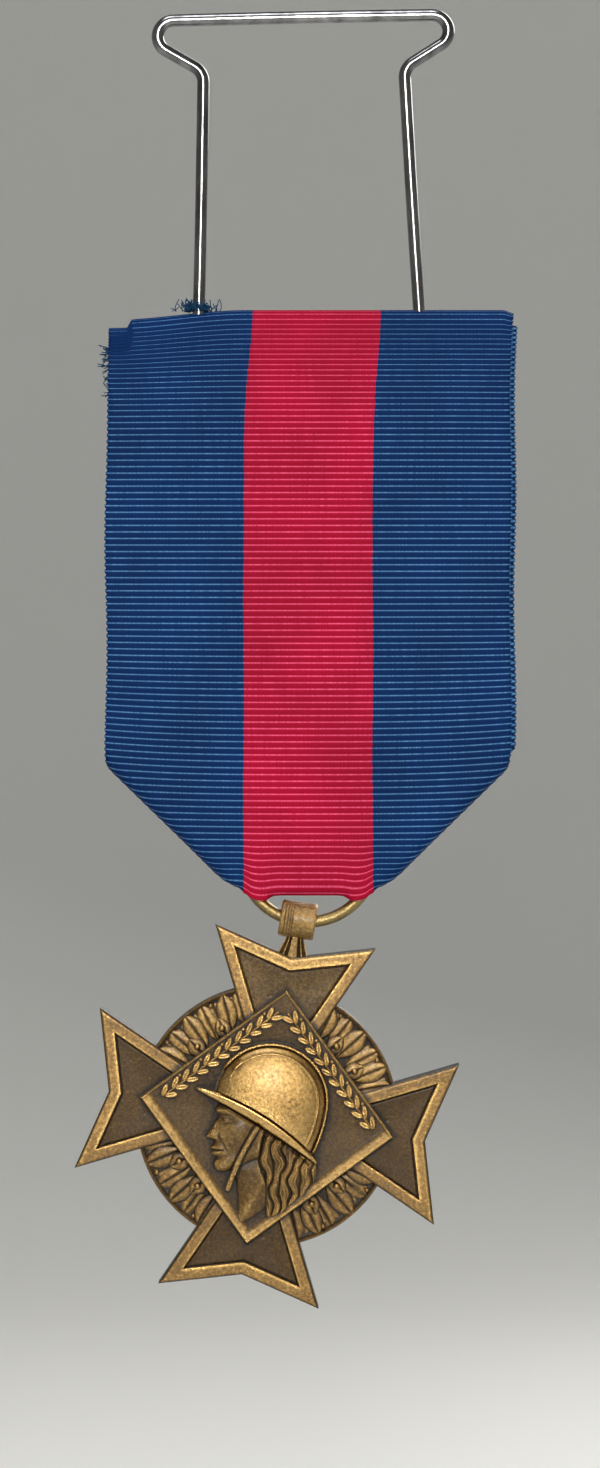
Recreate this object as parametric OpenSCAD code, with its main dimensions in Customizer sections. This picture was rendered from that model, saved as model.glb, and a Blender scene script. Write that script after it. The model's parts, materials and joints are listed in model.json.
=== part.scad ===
// Military service medal: a struck bronze cross with a helmeted head in profile, hung by a
// barrel from a wire ring, the ring held in the folded end of a blue, red and blue ribbon,
// and the ribbon slid onto the two prongs of a bent wire pin.
// Millimetres. +Z is up, the medal's front faces -Y, and the origin is the middle of the
// pin's crossbar. The medal hangs at rest, turned a little to the wearer's right.

/* [Node] */
// which sub-part to draw

/* [Pin] */
// wire diameter
pin_wire_d = 1.12; // [0.9:0.02:1.4]
// half-length of the crossbar, to the outside of its end bends
pin_half_w = 13.9; // [11:0.1:16]
// centreline radius of the end bends
pin_bend_r = 1.47; // [1.2:0.01:2]
// slope of the shoulders below the crossbar, in degrees
pin_shoulder_a = 31; // [20:1:40]
// half-distance between the prongs where the shoulders end
pin_prong_x = 9.2; // [7:0.1:11]
// outward splay of each prong, in degrees
pin_splay_a = 2.6; // [0:0.1:4]
// centreline radius of the bend from shoulder to prong
pin_knee_r = 1.6; // [1.2:0.1:3]
// depth of the prong tips below the crossbar
pin_tip_z = 41; // [36:0.5:48]
// length of the ground points
pin_point_l = 2.6; // [1:0.1:4]
// tilt of the whole pin in its ribbon, in degrees, anticlockwise from the front
pin_tilt_a = 1.2; // [0:0.1:3]

/* [Ribbon] */
// ribbon width
ribbon_w = 37; // [36:0.5:38]
// width of the centre stripe
centre_w = 11.8; // [10:0.1:14]
// cloth thickness
cloth_t = 0.4; // [0.3:0.05:0.6]
// half-gap between the front and back layers
pocket_h = 0.66; // [0.6:0.01:0.9]
// sideways place of the ribbon's middle
ribbon_x = 0.5; // [0:0.1:1]
// height of the top hem, below the crossbar
hem_z = 26.8; // [25:0.1:30]
// height of the two lower corners, below the crossbar
corner_z = 68.6; // [65:0.1:72]
// height of the bottom edge, below the crossbar
bottom_z = 80.9; // [78:0.1:84]
// how far the fold in the ring sits above the bottom edge
fold_rise = 0.25; // [0.1:0.05:0.5]
// half-width of the fold that passes through the ring
fold_half_w = 3.65; // [3:0.05:3.9]
// wall of cloth along each slanting fold
slant_t = 0.25; // [0.2:0.05:0.4]
// depth of the lap where the ribbon's ends are sewn at the back
lap_d = 10; // [6:0.5:14]
// inner and outer ends of the slot that each prong goes through
slot_x = [8.5, 11.6]; // [7:0.1:13]

/* [Thread] */
// thread diameter
thread_d = 0.3; // [0.2:0.05:0.5]
// length of one stitch
stitch_l = 1.7; // [1:0.1:3]
// stitches across the lap
lap_stitches_n = 13; // [9:1:17]
// stitches along each folded corner
corner_stitches_n = 5; // [3:1:7]
// distance of the lap's seam from its lower edge
seam_in = 1; // [0.5:0.1:2]
// distance of each corner's seam from its upright edge
corner_seam_in = 0.7; // [0.4:0.1:1.5]
// how far up its pitch each corner stitch sits
corner_seam_up = 0.35; // [0:0.05:0.5]

/* [Ring] */
// wire diameter
ring_wire_d = 1.1; // [0.9:0.05:1.3]
// centreline radius
ring_r = 6.15; // [6:0.05:6.5]
// height of the ring's centre, below the crossbar
ring_z = 76.8; // [75:0.1:79]
// how far the medal has swung from straight down, in degrees
swing_a = 9; // [0:0.5:12]

/* [Barrel and neck] */
// barrel diameter
barrel_d = 3.4; // [3:0.1:4]
// barrel length
barrel_l = 3.3; // [3:0.1:4]
// barrel bore radius
bore_r = 0.85; // [0.8:0.01:0.95]
// how far the neck reaches into the barrel's round
barrel_sink = 0.25; // [0.1:0.05:0.4]
// chamfer on the barrel's ends
barrel_c = 0.3; // [0.1:0.05:0.5]
// neck width at the barrel
neck_top_w = 1.6; // [1.2:0.1:2]
// neck width at the cross
neck_low_w = 2.9; // [2.4:0.1:3.4]
// neck thickness
neck_t = 1.3; // [1:0.1:1.8]
// grooves on each face of the neck
neck_grooves_n = 4; // [3:1:6]
// angle between neighbouring grooves
neck_groove_a = 8.2; // [5:0.1:12]
// depth of the grooves
neck_groove_d = 0.18; // [0.1:0.02:0.3]
// how far below the notch the grooves would meet
neck_groove_drop = 3.2; // [2:0.1:5]
// length of the grooves
neck_groove_l = 4; // [3:0.5:5]

/* [Cross] */
// distance from the ring's centre to the cross's centre
cross_drop = 24.16; // [23:0.1:26]
// thickness of the cross
cross_t = 2.4; // [2:0.1:3]
// half-width of an arm at its points
tip_u = 7.42; // [7:0.01:8]
// height of the points above the centre
tip_v = 16.65; // [16:0.05:17.5]
// height of the notch between them
notch_v = 14.64; // [14:0.05:15.5]
// where the arm's sides would meet
root_v = 0.98; // [0:0.02:1.5]
// side of the square that joins the arms in the middle
hub_w = 3.14; // [2:0.02:4]
// width of the raised border
border_w = 1.1; // [0.8:0.1:1.5]
// depth of the sunken field
field_d = 0.3; // [0.1:0.05:0.5]
// level ground left round the plaque
pad_w = 0.4; // [0.1:0.05:0.6]

/* [Wreath] */
// outer radius
wreath_r = 12; // [11:0.1:13]
// thickness of the disc under the leaves
wreath_t = 1.8; // [1.4:0.1:2.2]
// how far the leaves stand above the disc
leaf_h = 0.3; // [0.2:0.05:0.5]
// leaf length
leaf_l = 3.9; // [3:0.1:5]
// leaf width
leaf_w = 1.4; // [1:0.1:1.8]
// leaves in each gap between the arms
gap_leaves_n = 5; // [3:1:6]
// angle between neighbouring leaves
leaf_step_a = 7.6; // [6:0.1:10]
// how far every other leaf stands out
leaf_stagger = 0.25; // [0:0.05:0.5]
// how far the other leaves keep back from the rim
leaf_back = 0.2; // [0:0.05:0.5]
// how far the disc under the leaves keeps back from the rim
disc_back = 0.7; // [0.4:0.05:1]
// clearance of the leaves round the plaque
leaf_gap = 0.05; // [0:0.01:0.1]
// berry radius
berry_r = 0.35; // [0.2:0.05:0.5]
// half-distance between the two berries of a gap, and their distance from the centre
berry_at = [1.5, 10.15]; // [0:0.05:12]

/* [Plaque] */
// side of the square plaque
plaque_side = 16.57; // [15:0.01:18]
// how far the plaque stands in front of the cross
plaque_h = 0.55; // [0.3:0.05:0.9]
// width of the plaque's rim
rim_w = 0.3; // [0.2:0.05:0.5]
// height of the rim above the plaque's field
rim_h = 0.15; // [0.1:0.05:0.3]
// leaf pairs in each sprig of laurel
spray_n = 11; // [8:1:14]
// distance of the sprigs' stems from the plaque's edge
spray_inset = 1.05; // [0.9:0.05:1.3]
// height of the sprigs above the plaque
spray_h = 0.22; // [0.1:0.02:0.4]
// leaf length in a sprig
spray_leaf_l = 1.2; // [1:0.05:1.6]
// leaf width in a sprig
spray_leaf_w = 0.5; // [0.4:0.05:0.7]
// how far each leaf leans from the stem, in degrees
spray_leaf_a = 24; // [15:1:35]
// stem width in a sprig
spray_stem_w = 0.14; // [0.1:0.02:0.2]

// how far the tablet on the back stands behind the cross
tablet_h = 0.3; // [0.1:0.05:0.5]

/* [Helmet and head] */
// middle of the dome, from the cross's centre
dome_at = [0.1, 1.5]; // [-2:0.1:3]
// dome radius
dome_r = 5; // [4.5:0.1:5.5]
// how far the dome stands above the plaque
dome_h = 1.8; // [0.8:0.05:2.2]
// width of the comb that follows the dome
comb_w = 0.36; // [0.2:0.02:0.5]
// height of the comb above the plaque
comb_h = 0.7; // [0.4:0.05:1]
// where the comb starts and ends round the dome, in degrees
comb_span = [-20, 150]; // [-40:1:180]
// how far above the brim the comb stops
comb_rise = 1.2; // [0.8:0.1:2]
// middle of the helmet badge
badge_at = [-3.4, 4.35]; // [-5:0.05:5]
// length, width and height above the plaque of the badge
badge_size = [1.3, 0.5, 0.65]; // [0.3:0.05:2]
// slant of the badge, in degrees
badge_a = -40; // [-60:1:0]
// ends of the brim, visor first
brim_ends = [[-6.75, 1.64], [5.23, -3.47]]; // [-8:0.01:8]
// brim width at its middle, all of it above the line between its ends
brim_w = 1.3; // [0.9:0.05:1.5]
// height of the brim above the plaque
brim_h = 0.85; // [0.5:0.05:1.2]
// outline of the helmet's skirt at the nape
skirt_edge = [[1.5, 0], [5.05, 1.2], [5.2, -1], [4.6, -2.3], [3.2, -2.2]]; // [-4:0.05:6]
// height of the skirt above the plaque
skirt_h = 0.6; // [0.4:0.05:0.8]
// height of the face above the plaque
face_h = 0.75; // [0.5:0.05:1]
// tilt of the face, in degrees
face_a = 8; // [-10:1:20]
// where the face's own origin sits
face_at = [-0.05, 0.5]; // [-2:0.05:2]
// a third of the face: hairline to brow, brow to nose base, nose base to chin
third = 2.75; // [2.4:0.05:3]
// radius of the eye's hollow
eye_r = 0.45; // [0.3:0.05:0.6]
// chin strap width
strap_w = 0.54; // [0.4:0.02:1]
// ends of the chin strap, at the brim and below the jaw
strap_ends = [[-0.6, -0.6], [-2.45, -6.9]]; // [-8:0.05:2]
// how far the strap stands above the face
strap_h = 0.18; // [0.1:0.02:0.4]
// rows and columns of locks in the hair
lock_grid = [3, 4]; // [1:1:6]
// length, width and height of one lock
lock_size = [1.5, 0.8, 0.22]; // [0.1:0.05:2]
// slant of the locks, in degrees
lock_a = -28; // [-45:1:0]

/* [Hidden] */
$fn = 64;
pin_r = pin_wire_d / 2;
cross_h = cross_t / 2;
wreath_h = wreath_t / 2;
plaque_y = cross_h + plaque_h;
plaque_d = plaque_side / sqrt(2);
layer_y = pocket_h + cloth_t;
half_w = ribbon_w / 2;
centre_h = centre_w / 2;
// the bore's axis is a little inside the ring's circle, because the ring's wire is curved
bore_sag = pow(barrel_l / 2, 2) / (2 * ring_r) / 2;
hinge_r = ring_r - bore_sag;
hinge_v = cross_drop - hinge_r;
dome_ball_r = (pow(dome_r, 2) + pow(dome_h, 2)) / (2 * dome_h);
eps = 0.01;
far = 60;

// A flat shape drawn in X and Z, with its front at y0 and its back at y1.
module slab(y0, y1) {
  translate([0, y1, 0])
    rotate([90, 0, 0])
      linear_extrude(height = y1 - y0)
        children();
}

// Puts something drawn about the cross's centre where the cross hangs.
module on_medal() {
  translate([ribbon_x, 0, -ring_z])
    rotate([0, swing_a, 0])
      translate([0, 0, -cross_drop])
        children();
}

function turned(p, a) = [p[0] * cos(a) - p[1] * sin(a), p[0] * sin(a) + p[1] * cos(a)];
function moved(p, d) = [p[0] + d[0], p[1] + d[1]];
function away(a, b) = sqrt(pow(b[0] - a[0], 2) + pow(b[1] - a[1], 2));
function slope(a, b) = atan2(b[1] - a[1], b[0] - a[0]);

// A straight length of round wire from a to b, both in X and Z.
module rod(a, b, r) {
  translate([a[0], 0, a[1]])
    rotate([0, 90 - slope(a, b), 0])
      cylinder(r = r, h = away(a, b));
}

// A bend of round wire about c, from angle a0 on by angle da, in X and Z.
module bend(c, bend_r, a0, da, r) {
  translate([c[0], 0, c[1]])
    rotate([90, 0, 0])
      rotate([0, 0, a0])
        rotate_extrude(angle = da)
          translate([bend_r, 0])
            circle(r = r);
}

// ---- pin ----
bend_c = [pin_half_w - pin_r - pin_bend_r, -pin_bend_r];
bend_end_a = -(90 - pin_shoulder_a);
bend_out = moved(bend_c, [pin_bend_r * cos(bend_end_a), pin_bend_r * sin(bend_end_a)]);
knee_v = bend_out[1] - (bend_out[0] - pin_prong_x) * tan(pin_shoulder_a);
knee = [pin_prong_x, knee_v];
// the knee turns from the shoulder's slope to the prong's
knee_turn = 90 - pin_shoulder_a + pin_splay_a;
knee_cut = pin_knee_r * tan(knee_turn / 2);
knee_in = moved(knee, [knee_cut * cos(pin_shoulder_a), knee_cut * sin(pin_shoulder_a)]);
knee_out = moved(knee, [knee_cut * sin(pin_splay_a), -knee_cut * cos(pin_splay_a)]);
knee_c = moved(knee_out, [pin_knee_r * cos(pin_splay_a), pin_knee_r * sin(pin_splay_a)]);
prong_l = (pin_tip_z + knee_out[1]) / cos(pin_splay_a);
function along_prong(d) = moved(knee_out, [d * sin(pin_splay_a), -d * cos(pin_splay_a)]);

point_at = along_prong(prong_l - pin_point_l);

// A bead that closes the joint between a straight length and a bend.
module joint_at(p) {
  translate([p[0], 0, p[1]]) sphere(r = pin_r * 1.01);
}

module half_pin() {
  joint_at([bend_c[0], 0]);
  bend(bend_c, pin_bend_r, bend_end_a, 90 - bend_end_a, pin_r);
  joint_at(bend_out);
  rod(bend_out, knee_in, pin_r);
  joint_at(knee_in);
  bend(knee_c, pin_knee_r, 90 + pin_shoulder_a, knee_turn, pin_r);
  joint_at(knee_out);
  rod(knee_out, point_at, pin_r);
  joint_at(point_at);
  translate([point_at[0], 0, point_at[1]])
    rotate([0, 180 - pin_splay_a, 0])
      cylinder(r1 = pin_r, r2 = pin_r / 5, h = pin_point_l);
}

module pin_wire() {
  color([0.66, 0.67, 0.70])
    rotate([0, -pin_tilt_a, 0]) {
      rod([-bend_c[0], 0], [bend_c[0], 0], pin_r);
      half_pin();
      mirror([1, 0, 0]) half_pin();
    }
}

// ---- ribbon ----
module ribbon_outline() {
  polygon([
    [-half_w, -hem_z], [half_w, -hem_z], [half_w, -corner_z], [centre_h, -bottom_z],
    [fold_half_w, -bottom_z], [fold_half_w, fold_rise - bottom_z],
    [-fold_half_w, fold_rise - bottom_z], [-fold_half_w, -bottom_z],
    [-centre_h, -bottom_z], [-half_w, -corner_z]
  ]);
}

// The space between the layers: open at the sides, closed at the hem and the slanting folds,
// and open beside the middle of the bottom edge, where the ring comes out.
slant_dir = slope([centre_h, -bottom_z], [half_w, -corner_z]);
slant_dx = slant_t / sin(slant_dir);
module pocket_outline() {
  difference() {
    polygon([
      [-far, -hem_z - cloth_t], [far, -hem_z - cloth_t],
      [far, (far - centre_h + slant_dx) * tan(slant_dir) - bottom_z],
      [centre_h - slant_dx, -bottom_z], [centre_h - slant_dx, -bottom_z - 1],
      [slant_dx - centre_h, -bottom_z - 1], [slant_dx - centre_h, -bottom_z],
      [-far, (far - centre_h + slant_dx) * tan(slant_dir) - bottom_z]
    ]);
    translate([-fold_half_w, -bottom_z - 1])
      square([2 * fold_half_w, 1 + fold_rise + cloth_t]);
  }
}

module stripe(x0, x1) {
  translate([ribbon_x, 0, 0])
    difference() {
      union() {
        slab(-layer_y, layer_y)
          intersection() {
            ribbon_outline();
            translate([x0, -far * 2]) square([x1 - x0, far * 2]);
          }
        slab(layer_y, layer_y + cloth_t)
          translate([x0, -hem_z - lap_d]) square([x1 - x0, lap_d - cloth_t]);
      }
      slab(-pocket_h, pocket_h) pocket_outline();
      for (side = [-1, 1])
        translate([side > 0 ? slot_x[0] : -slot_x[1], -pocket_h, -hem_z - cloth_t * 2])
          cube([slot_x[1] - slot_x[0], 2 * pocket_h, cloth_t * 3]);
    }
}

module ribbon_left_stripe() {
  color([0.03, 0.11, 0.33]) stripe(-half_w, -centre_h);
}

module ribbon_centre_stripe() {
  color([0.66, 0.02, 0.17]) stripe(-centre_h, centre_h);
}

module ribbon_right_stripe() {
  color([0.03, 0.11, 0.33]) stripe(centre_h, half_w);
}

// The doubled corner turned up behind the ribbon along its slanting edge.
corner_a = [half_w, -corner_z];
corner_b = [centre_h, -bottom_z];
corner_p = [half_w, -bottom_z];
function mirrored(p, a, b) =
  let (t = slope(a, b), q = turned([p[0] - a[0], p[1] - a[1]], -t), m = turned([q[0], -q[1]], t))
  moved(m, a);
corner_c = mirrored(corner_p, corner_a, corner_b);

module corner_fold() {
  slab(layer_y, layer_y + 2 * cloth_t)
    polygon([corner_a, corner_b, corner_c]);
}

module left_corner_fold() {
  color([0.03, 0.10, 0.30])
    translate([ribbon_x, 0, 0]) mirror([1, 0, 0]) corner_fold();
}

module right_corner_fold() {
  color([0.03, 0.10, 0.30])
    translate([ribbon_x, 0, 0]) corner_fold();
}

// ---- thread ----
module lap_stitches() {
  pitch = ribbon_w / lap_stitches_n;
  color([0.12, 0.18, 0.36])
    translate([ribbon_x, layer_y + cloth_t, seam_in - hem_z - lap_d])
      for (i = [0 : lap_stitches_n - 1])
        rod([-half_w + pitch * (i + 0.5) - stitch_l / 2, 0],
            [-half_w + pitch * (i + 0.5) + stitch_l / 2, 0], thread_d / 2);
}

module corner_stitches() {
  pitch = (corner_c[1] - corner_b[1]) / (corner_stitches_n + 1);
  x = corner_c[0] + corner_seam_in;
  color([0.12, 0.18, 0.36])
    translate([ribbon_x, layer_y + 2 * cloth_t, 0])
      for (side = [-1, 1])
        for (i = [1 : corner_stitches_n])
          rod([side * x, corner_b[1] + pitch * (i + corner_seam_up) - stitch_l / 2],
              [side * x, corner_b[1] + pitch * (i + corner_seam_up) + stitch_l / 2],
              thread_d / 2);
}

// ---- ring, barrel and neck ----
module suspension_ring() {
  color([0.52, 0.40, 0.20])
    translate([ribbon_x, 0, -ring_z])
      rotate([90, 0, 0])
        rotate_extrude()
          translate([ring_r, 0])
            circle(r = ring_wire_d / 2);
}

module suspension_barrel() {
  b = barrel_d / 2;
  h = barrel_l / 2;
  color([0.50, 0.39, 0.20])
    on_medal()
      translate([0, 0, hinge_v])
        rotate([0, 90, 0])
          rotate_extrude()
            polygon([
              [bore_r, -h], [b - barrel_c, -h], [b, barrel_c - h],
              [b, h - barrel_c], [b - barrel_c, h], [bore_r, h]
            ]);
}

// the arms' ends fall away from their points to the notch
function arm_end_v(u) = notch_v + abs(u) * (tip_v - notch_v) / tip_u;

module neck() {
  // the neck reaches into the curve of the barrel
  top_v = hinge_v - barrel_d / 2 + barrel_sink;
  top_h = neck_top_w / 2;
  low_h = neck_low_w / 2;
  color([0.42, 0.35, 0.21])
    on_medal()
      difference() {
        slab(-neck_t / 2, neck_t / 2)
          polygon([
            [-top_h, top_v], [top_h, top_v], [low_h, arm_end_v(low_h)],
            [0, notch_v], [-low_h, arm_end_v(low_h)]
          ]);
        for (face = [-1, 1])
          for (i = [1 : neck_grooves_n])
            translate([0, face * neck_t / 2, notch_v - neck_groove_drop])
              rotate([0, (i - (neck_grooves_n + 1) / 2) * neck_groove_a, 0])
                translate([0, 0, neck_groove_drop - field_d * 2])
                  cylinder(d = neck_groove_d * 2, h = neck_groove_l, $fn = 4);
      }
}

// ---- cross ----
module arm_outline() {
  polygon([[0, root_v], [tip_u, tip_v], [0, notch_v], [-tip_u, tip_v]]);
}

module cross_outline() {
  for (i = [0 : 3])
    rotate(90 * i) arm_outline();
  rotate(45) square(hub_w, center = true);
}

module plaque_outline(inset = 0) {
  rotate(45) square(plaque_side - 2 * inset, center = true);
}

// the sunken field of one arm, inside its border
field_k = (tip_v - root_v) / tip_u;
field_side = border_w * sqrt(1 + 1 / pow(field_k, 2));
module field_outline() {
  inner_root = root_v + field_side * field_k;
  end_k = (tip_v - notch_v) / tip_u;
  end_drop = border_w * sqrt(1 + pow(end_k, 2));
  inner_u = (notch_v - end_drop - inner_root) / (field_k - end_k);
  polygon([
    [0, inner_root], [inner_u, inner_root + inner_u * field_k], [0, notch_v - end_drop],
    [-inner_u, inner_root + inner_u * field_k]
  ]);
}

module cross() {
  color([0.50, 0.38, 0.19])
    on_medal()
      difference() {
        slab(-cross_h, cross_h) cross_outline();
        for (face = [-1, 1])
          for (i = [0 : 3])
            slab(face > 0 ? cross_h - field_d : -cross_h - 1, face > 0 ? cross_h + 1 : field_d - cross_h)
              difference() {
                rotate(90 * i) field_outline();
                plaque_outline(-pad_w);
              }
      }
}

// ---- wreath ----
module leaf_outline(l, w) {
  r = (pow(l / 2, 2) + pow(w / 2, 2)) / w;
  intersection() {
    translate([r - w / 2, 0]) circle(r = r);
    translate([w / 2 - r, 0]) circle(r = r);
  }
}

module gap_leaves() {
  for (i = [0 : gap_leaves_n - 1])
    rotate(-45 + (i - (gap_leaves_n - 1) / 2) * leaf_step_a)
      translate([0, wreath_r - leaf_l / 2 + (i % 2) * leaf_stagger - leaf_back])
        leaf_outline(leaf_l, leaf_w);
}

module wreath() {
  color([0.46, 0.35, 0.18])
    on_medal()
      difference() {
        union() {
          slab(-wreath_h, wreath_h) circle(r = wreath_r - disc_back);
          for (i = [0 : 3])
            slab(-wreath_h - leaf_h, wreath_h + leaf_h / 2)
              rotate(90 * i) gap_leaves();
        }
        slab(-cross_h - 1, cross_h + 1) cross_outline();
        slab(-cross_h - 1, -wreath_h) plaque_outline(-leaf_gap);
      }
}

// one berry by the plaque's edge and one nearer the rim, in each gap
module berries() {
  color([0.54, 0.41, 0.21])
    on_medal()
      for (i = [0 : 3])
        for (side = [-1, 1])
          rotate([0, 90 * i + 45, 0])
            translate([side * berry_at[0], -wreath_h - leaf_h, berry_at[1]])
              sphere(r = berry_r);
}

// ---- plaque ----
module plaque() {
  color([0.44, 0.33, 0.17])
    on_medal()
      difference() {
        slab(-plaque_y - rim_h, -wreath_h) plaque_outline();
        slab(-cross_h, 0) cross_outline();
        slab(-plaque_y - 1, -plaque_y) plaque_outline(rim_w);
      }
}

// A sprig of paired leaves up each of the plaque's two upper sides.
module laurel_spray() {
  mid_y = plaque_side / 2 - spray_inset;
  stem_l = plaque_side - 2 * spray_inset - 1.6;
  step = (stem_l - spray_leaf_l) / (spray_n - 1);
  color([0.52, 0.40, 0.20])
    on_medal()
      slab(-plaque_y - spray_h, -plaque_y)
        for (side = [-1, 1])
          rotate(45 * side)
            translate([0, mid_y]) {
              for (i = [0 : spray_n - 1])
                for (up = [-1, 1])
                  translate([side * (step * i - (stem_l - spray_leaf_l) / 2), up * spray_leaf_w * 0.5])
                    rotate(side * (90 - up * side * spray_leaf_a))
                      leaf_outline(spray_leaf_l, spray_leaf_w);
              square([stem_l, spray_stem_w], center = true);
            }
}

// ---- helmet and head ----
brim_a = slope(brim_ends[0], brim_ends[1]);
brim_mid = [(brim_ends[0][0] + brim_ends[1][0]) / 2, (brim_ends[0][1] + brim_ends[1][1]) / 2];
brim_l = away(brim_ends[0], brim_ends[1]);
brim_r = (pow(brim_l / 2, 2) + pow(brim_w, 2)) / (2 * brim_w);

module above_brim(raise) {
  translate(brim_mid) rotate(brim_a) translate([-far / 2, raise]) square([far, far]);
}

module brim_outline() {
  intersection() {
    above_brim(0);
    translate(brim_mid) rotate(brim_a) translate([0, brim_w - brim_r]) circle(r = brim_r);
  }
}

module dome_ball() {
  translate([dome_at[0], dome_ball_r - dome_h - plaque_y, dome_at[1]])
    sphere(r = dome_ball_r, $fn = 240);
}

// The comb seen from the front, clear of the brim.
module comb_shape() {
  intersection() {
    comb_outline(dome_r + eps, dome_r + comb_w, comb_span[0], comb_span[1]);
    above_brim(comb_rise);
  }
}

module helmet() {
  color([0.60, 0.47, 0.25])
    on_medal() {
      intersection() {
        dome_ball();
        slab(-plaque_y - dome_h - 1, -plaque_y) above_brim(0);
      }
      slab(-plaque_y - brim_h, -plaque_y) brim_outline();
      slab(-plaque_y - skirt_h, -plaque_y)
        difference() {
          polygon(skirt_edge);
          comb_shape();
        }
    }
}

module comb_outline(r0, r1, a0, a1) {
  difference() {
    translate(dome_at) circle(r = r1);
    translate(dome_at) circle(r = r0);
    translate(dome_at) rotate(a1) translate([-far, 0]) square([far * 2, far]);
    translate(dome_at) rotate(a0) translate([-far, -far]) square([far * 2, far]);
  }
}

module helmet_comb() {
  color([0.63, 0.50, 0.27])
    on_medal()
      slab(-plaque_y - comb_h, -plaque_y)
        comb_shape();
}

module helmet_badge() {
  color([0.63, 0.50, 0.27])
    on_medal()
      difference() {
        slab(-plaque_y - badge_size[2], -plaque_y)
          translate(badge_at) rotate(badge_a) leaf_outline(badge_size[0], badge_size[1]);
        dome_ball();
      }
}

// A plain face in profile, looking left, in thirds: brow, nose base and chin equally spaced.
face = [
  [-0.2, 0.35], [-1.66, 0.3], [-1.74, 0], [-1.68, -0.14], [-2.08, -0.82], [-2.06, -0.93],
  [-1.8, -1], [-1.85, -1.17], [-1.89, -1.28], [-1.77, -1.36], [-1.84, -1.47], [-1.8, -1.58],
  [-1.69, -1.66], [-1.76, -1.83], [-1.68, -1.97], [-1.48, -2.03], [-0.6, -1.78]
];
// The front of the neck, the cut below it, and the back of the neck up to the helmet.
neck_edge = [[-1.9, -6.3], [-1.45, -7.9], [-1.3, -9.3], [-0.6, -9.8], [4.6, -5.2], [4.3, -3.1], [2, -1.6]];

function on_face(p) = moved(turned(p * third, face_a), face_at);

module head_outline() {
  polygon(concat([for (p = face) on_face(p)], neck_edge));
}

module head() {
  color([0.52, 0.40, 0.21])
    on_medal()
      difference() {
        slab(-plaque_y - face_h, -plaque_y)
          difference() {
            head_outline();
            above_brim(0);
            brim_outline();
            strap_outline();
            hair_outline();
          }
        // the eye's hollow, under the brow
        eye = on_face([-1.48, -0.22]);
        translate([eye[0], -plaque_y - face_h - eye_r / 3, eye[1]]) sphere(r = eye_r);
      }
}

// The strap runs from the brim to below the jaw.
module strap_outline() {
  translate(strap_ends[1])
    rotate(slope(strap_ends[1], strap_ends[0]))
      translate([0, -strap_w / 2]) square([away(strap_ends[0], strap_ends[1]), strap_w]);
}

module chin_strap() {
  color([0.58, 0.45, 0.24])
    on_medal()
      slab(-plaque_y - face_h - strap_h, -plaque_y)
        difference() {
          strap_outline();
          above_brim(0);
          brim_outline();
        }
}

// Waved locks between the strap and the back of the neck.
hair_edge = [[0.15, -1], [5.15, -3.3], [4.9, -5.9], [2.9, -7.6], [0.6, -4.2]];
lock_start = [0.9, -3.0];
lock_across = [1.05, -0.42];
lock_down = [0.35, -1.35];
module hair_outline() {
  difference() {
    polygon(hair_edge);
    above_brim(0);
    brim_outline();
    strap_outline();
  }
}

module hair() {
  color([0.50, 0.38, 0.19])
    on_medal() {
      slab(-plaque_y - face_h, -plaque_y) hair_outline();
      slab(-plaque_y - face_h - lock_size[2], -plaque_y - face_h)
        intersection() {
          hair_outline();
          for (r = [0 : lock_grid[0] - 1])
            for (c = [0 : lock_grid[1] - 1])
              translate(lock_start + c * lock_across + r * lock_down)
                rotate(lock_a) leaf_outline(lock_size[0], lock_size[1]);
        }
    }
}

// ---- reverse ----
module reverse_tablet() {
  color([0.44, 0.33, 0.17])
    on_medal()
      difference() {
        slab(wreath_h, cross_h + tablet_h) plaque_outline();
        slab(0, cross_h) cross_outline();
        slab(wreath_h - 1, cross_h)
          for (i = [0 : 3])
            rotate(90 * i) gap_leaves();
      }
}

pin_wire();
ribbon_left_stripe();
ribbon_centre_stripe();
ribbon_right_stripe();
left_corner_fold();
right_corner_fold();
lap_stitches();
corner_stitches();
suspension_ring();
suspension_barrel();
neck();
cross();
wreath();
berries();
plaque();
laurel_spray();
helmet();
helmet_comb();
helmet_badge();
head();
hair();
chin_strap();
reverse_tablet();
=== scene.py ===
"""Looks of the military service medal: woven ribbon, wire pin and ring, struck bronze relief.

Lengths are millimetres in the frame of the part (+Z up, front faces -Y) until a mesh is made.
Places on the medal itself are (u, v): right and up from the middle of the cross.
"""

import json
import math

import bpy
import numpy as np
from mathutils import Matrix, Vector


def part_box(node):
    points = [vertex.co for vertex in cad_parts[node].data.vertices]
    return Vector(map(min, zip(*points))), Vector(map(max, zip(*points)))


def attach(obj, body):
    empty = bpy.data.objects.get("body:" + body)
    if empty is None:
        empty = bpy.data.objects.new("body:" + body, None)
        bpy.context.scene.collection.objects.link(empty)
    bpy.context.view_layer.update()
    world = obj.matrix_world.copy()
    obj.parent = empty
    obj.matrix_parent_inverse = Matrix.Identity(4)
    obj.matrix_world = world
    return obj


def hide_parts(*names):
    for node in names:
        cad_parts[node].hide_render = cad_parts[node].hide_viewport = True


MM = 0.001
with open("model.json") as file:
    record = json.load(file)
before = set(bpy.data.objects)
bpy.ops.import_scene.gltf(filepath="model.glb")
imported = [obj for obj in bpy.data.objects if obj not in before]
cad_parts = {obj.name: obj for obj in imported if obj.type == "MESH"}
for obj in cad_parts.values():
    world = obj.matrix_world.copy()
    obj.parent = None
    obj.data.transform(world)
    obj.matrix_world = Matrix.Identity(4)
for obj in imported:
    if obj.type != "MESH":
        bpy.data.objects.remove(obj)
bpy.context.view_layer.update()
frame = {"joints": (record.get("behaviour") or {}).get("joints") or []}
joints = {j["name"]: j for j in frame["joints"]}


def box_mm(node):
    """A CAD part's lowest and highest corner in millimetres."""
    low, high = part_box(node)
    return np.array(low) / MM, np.array(high) / MM


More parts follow.
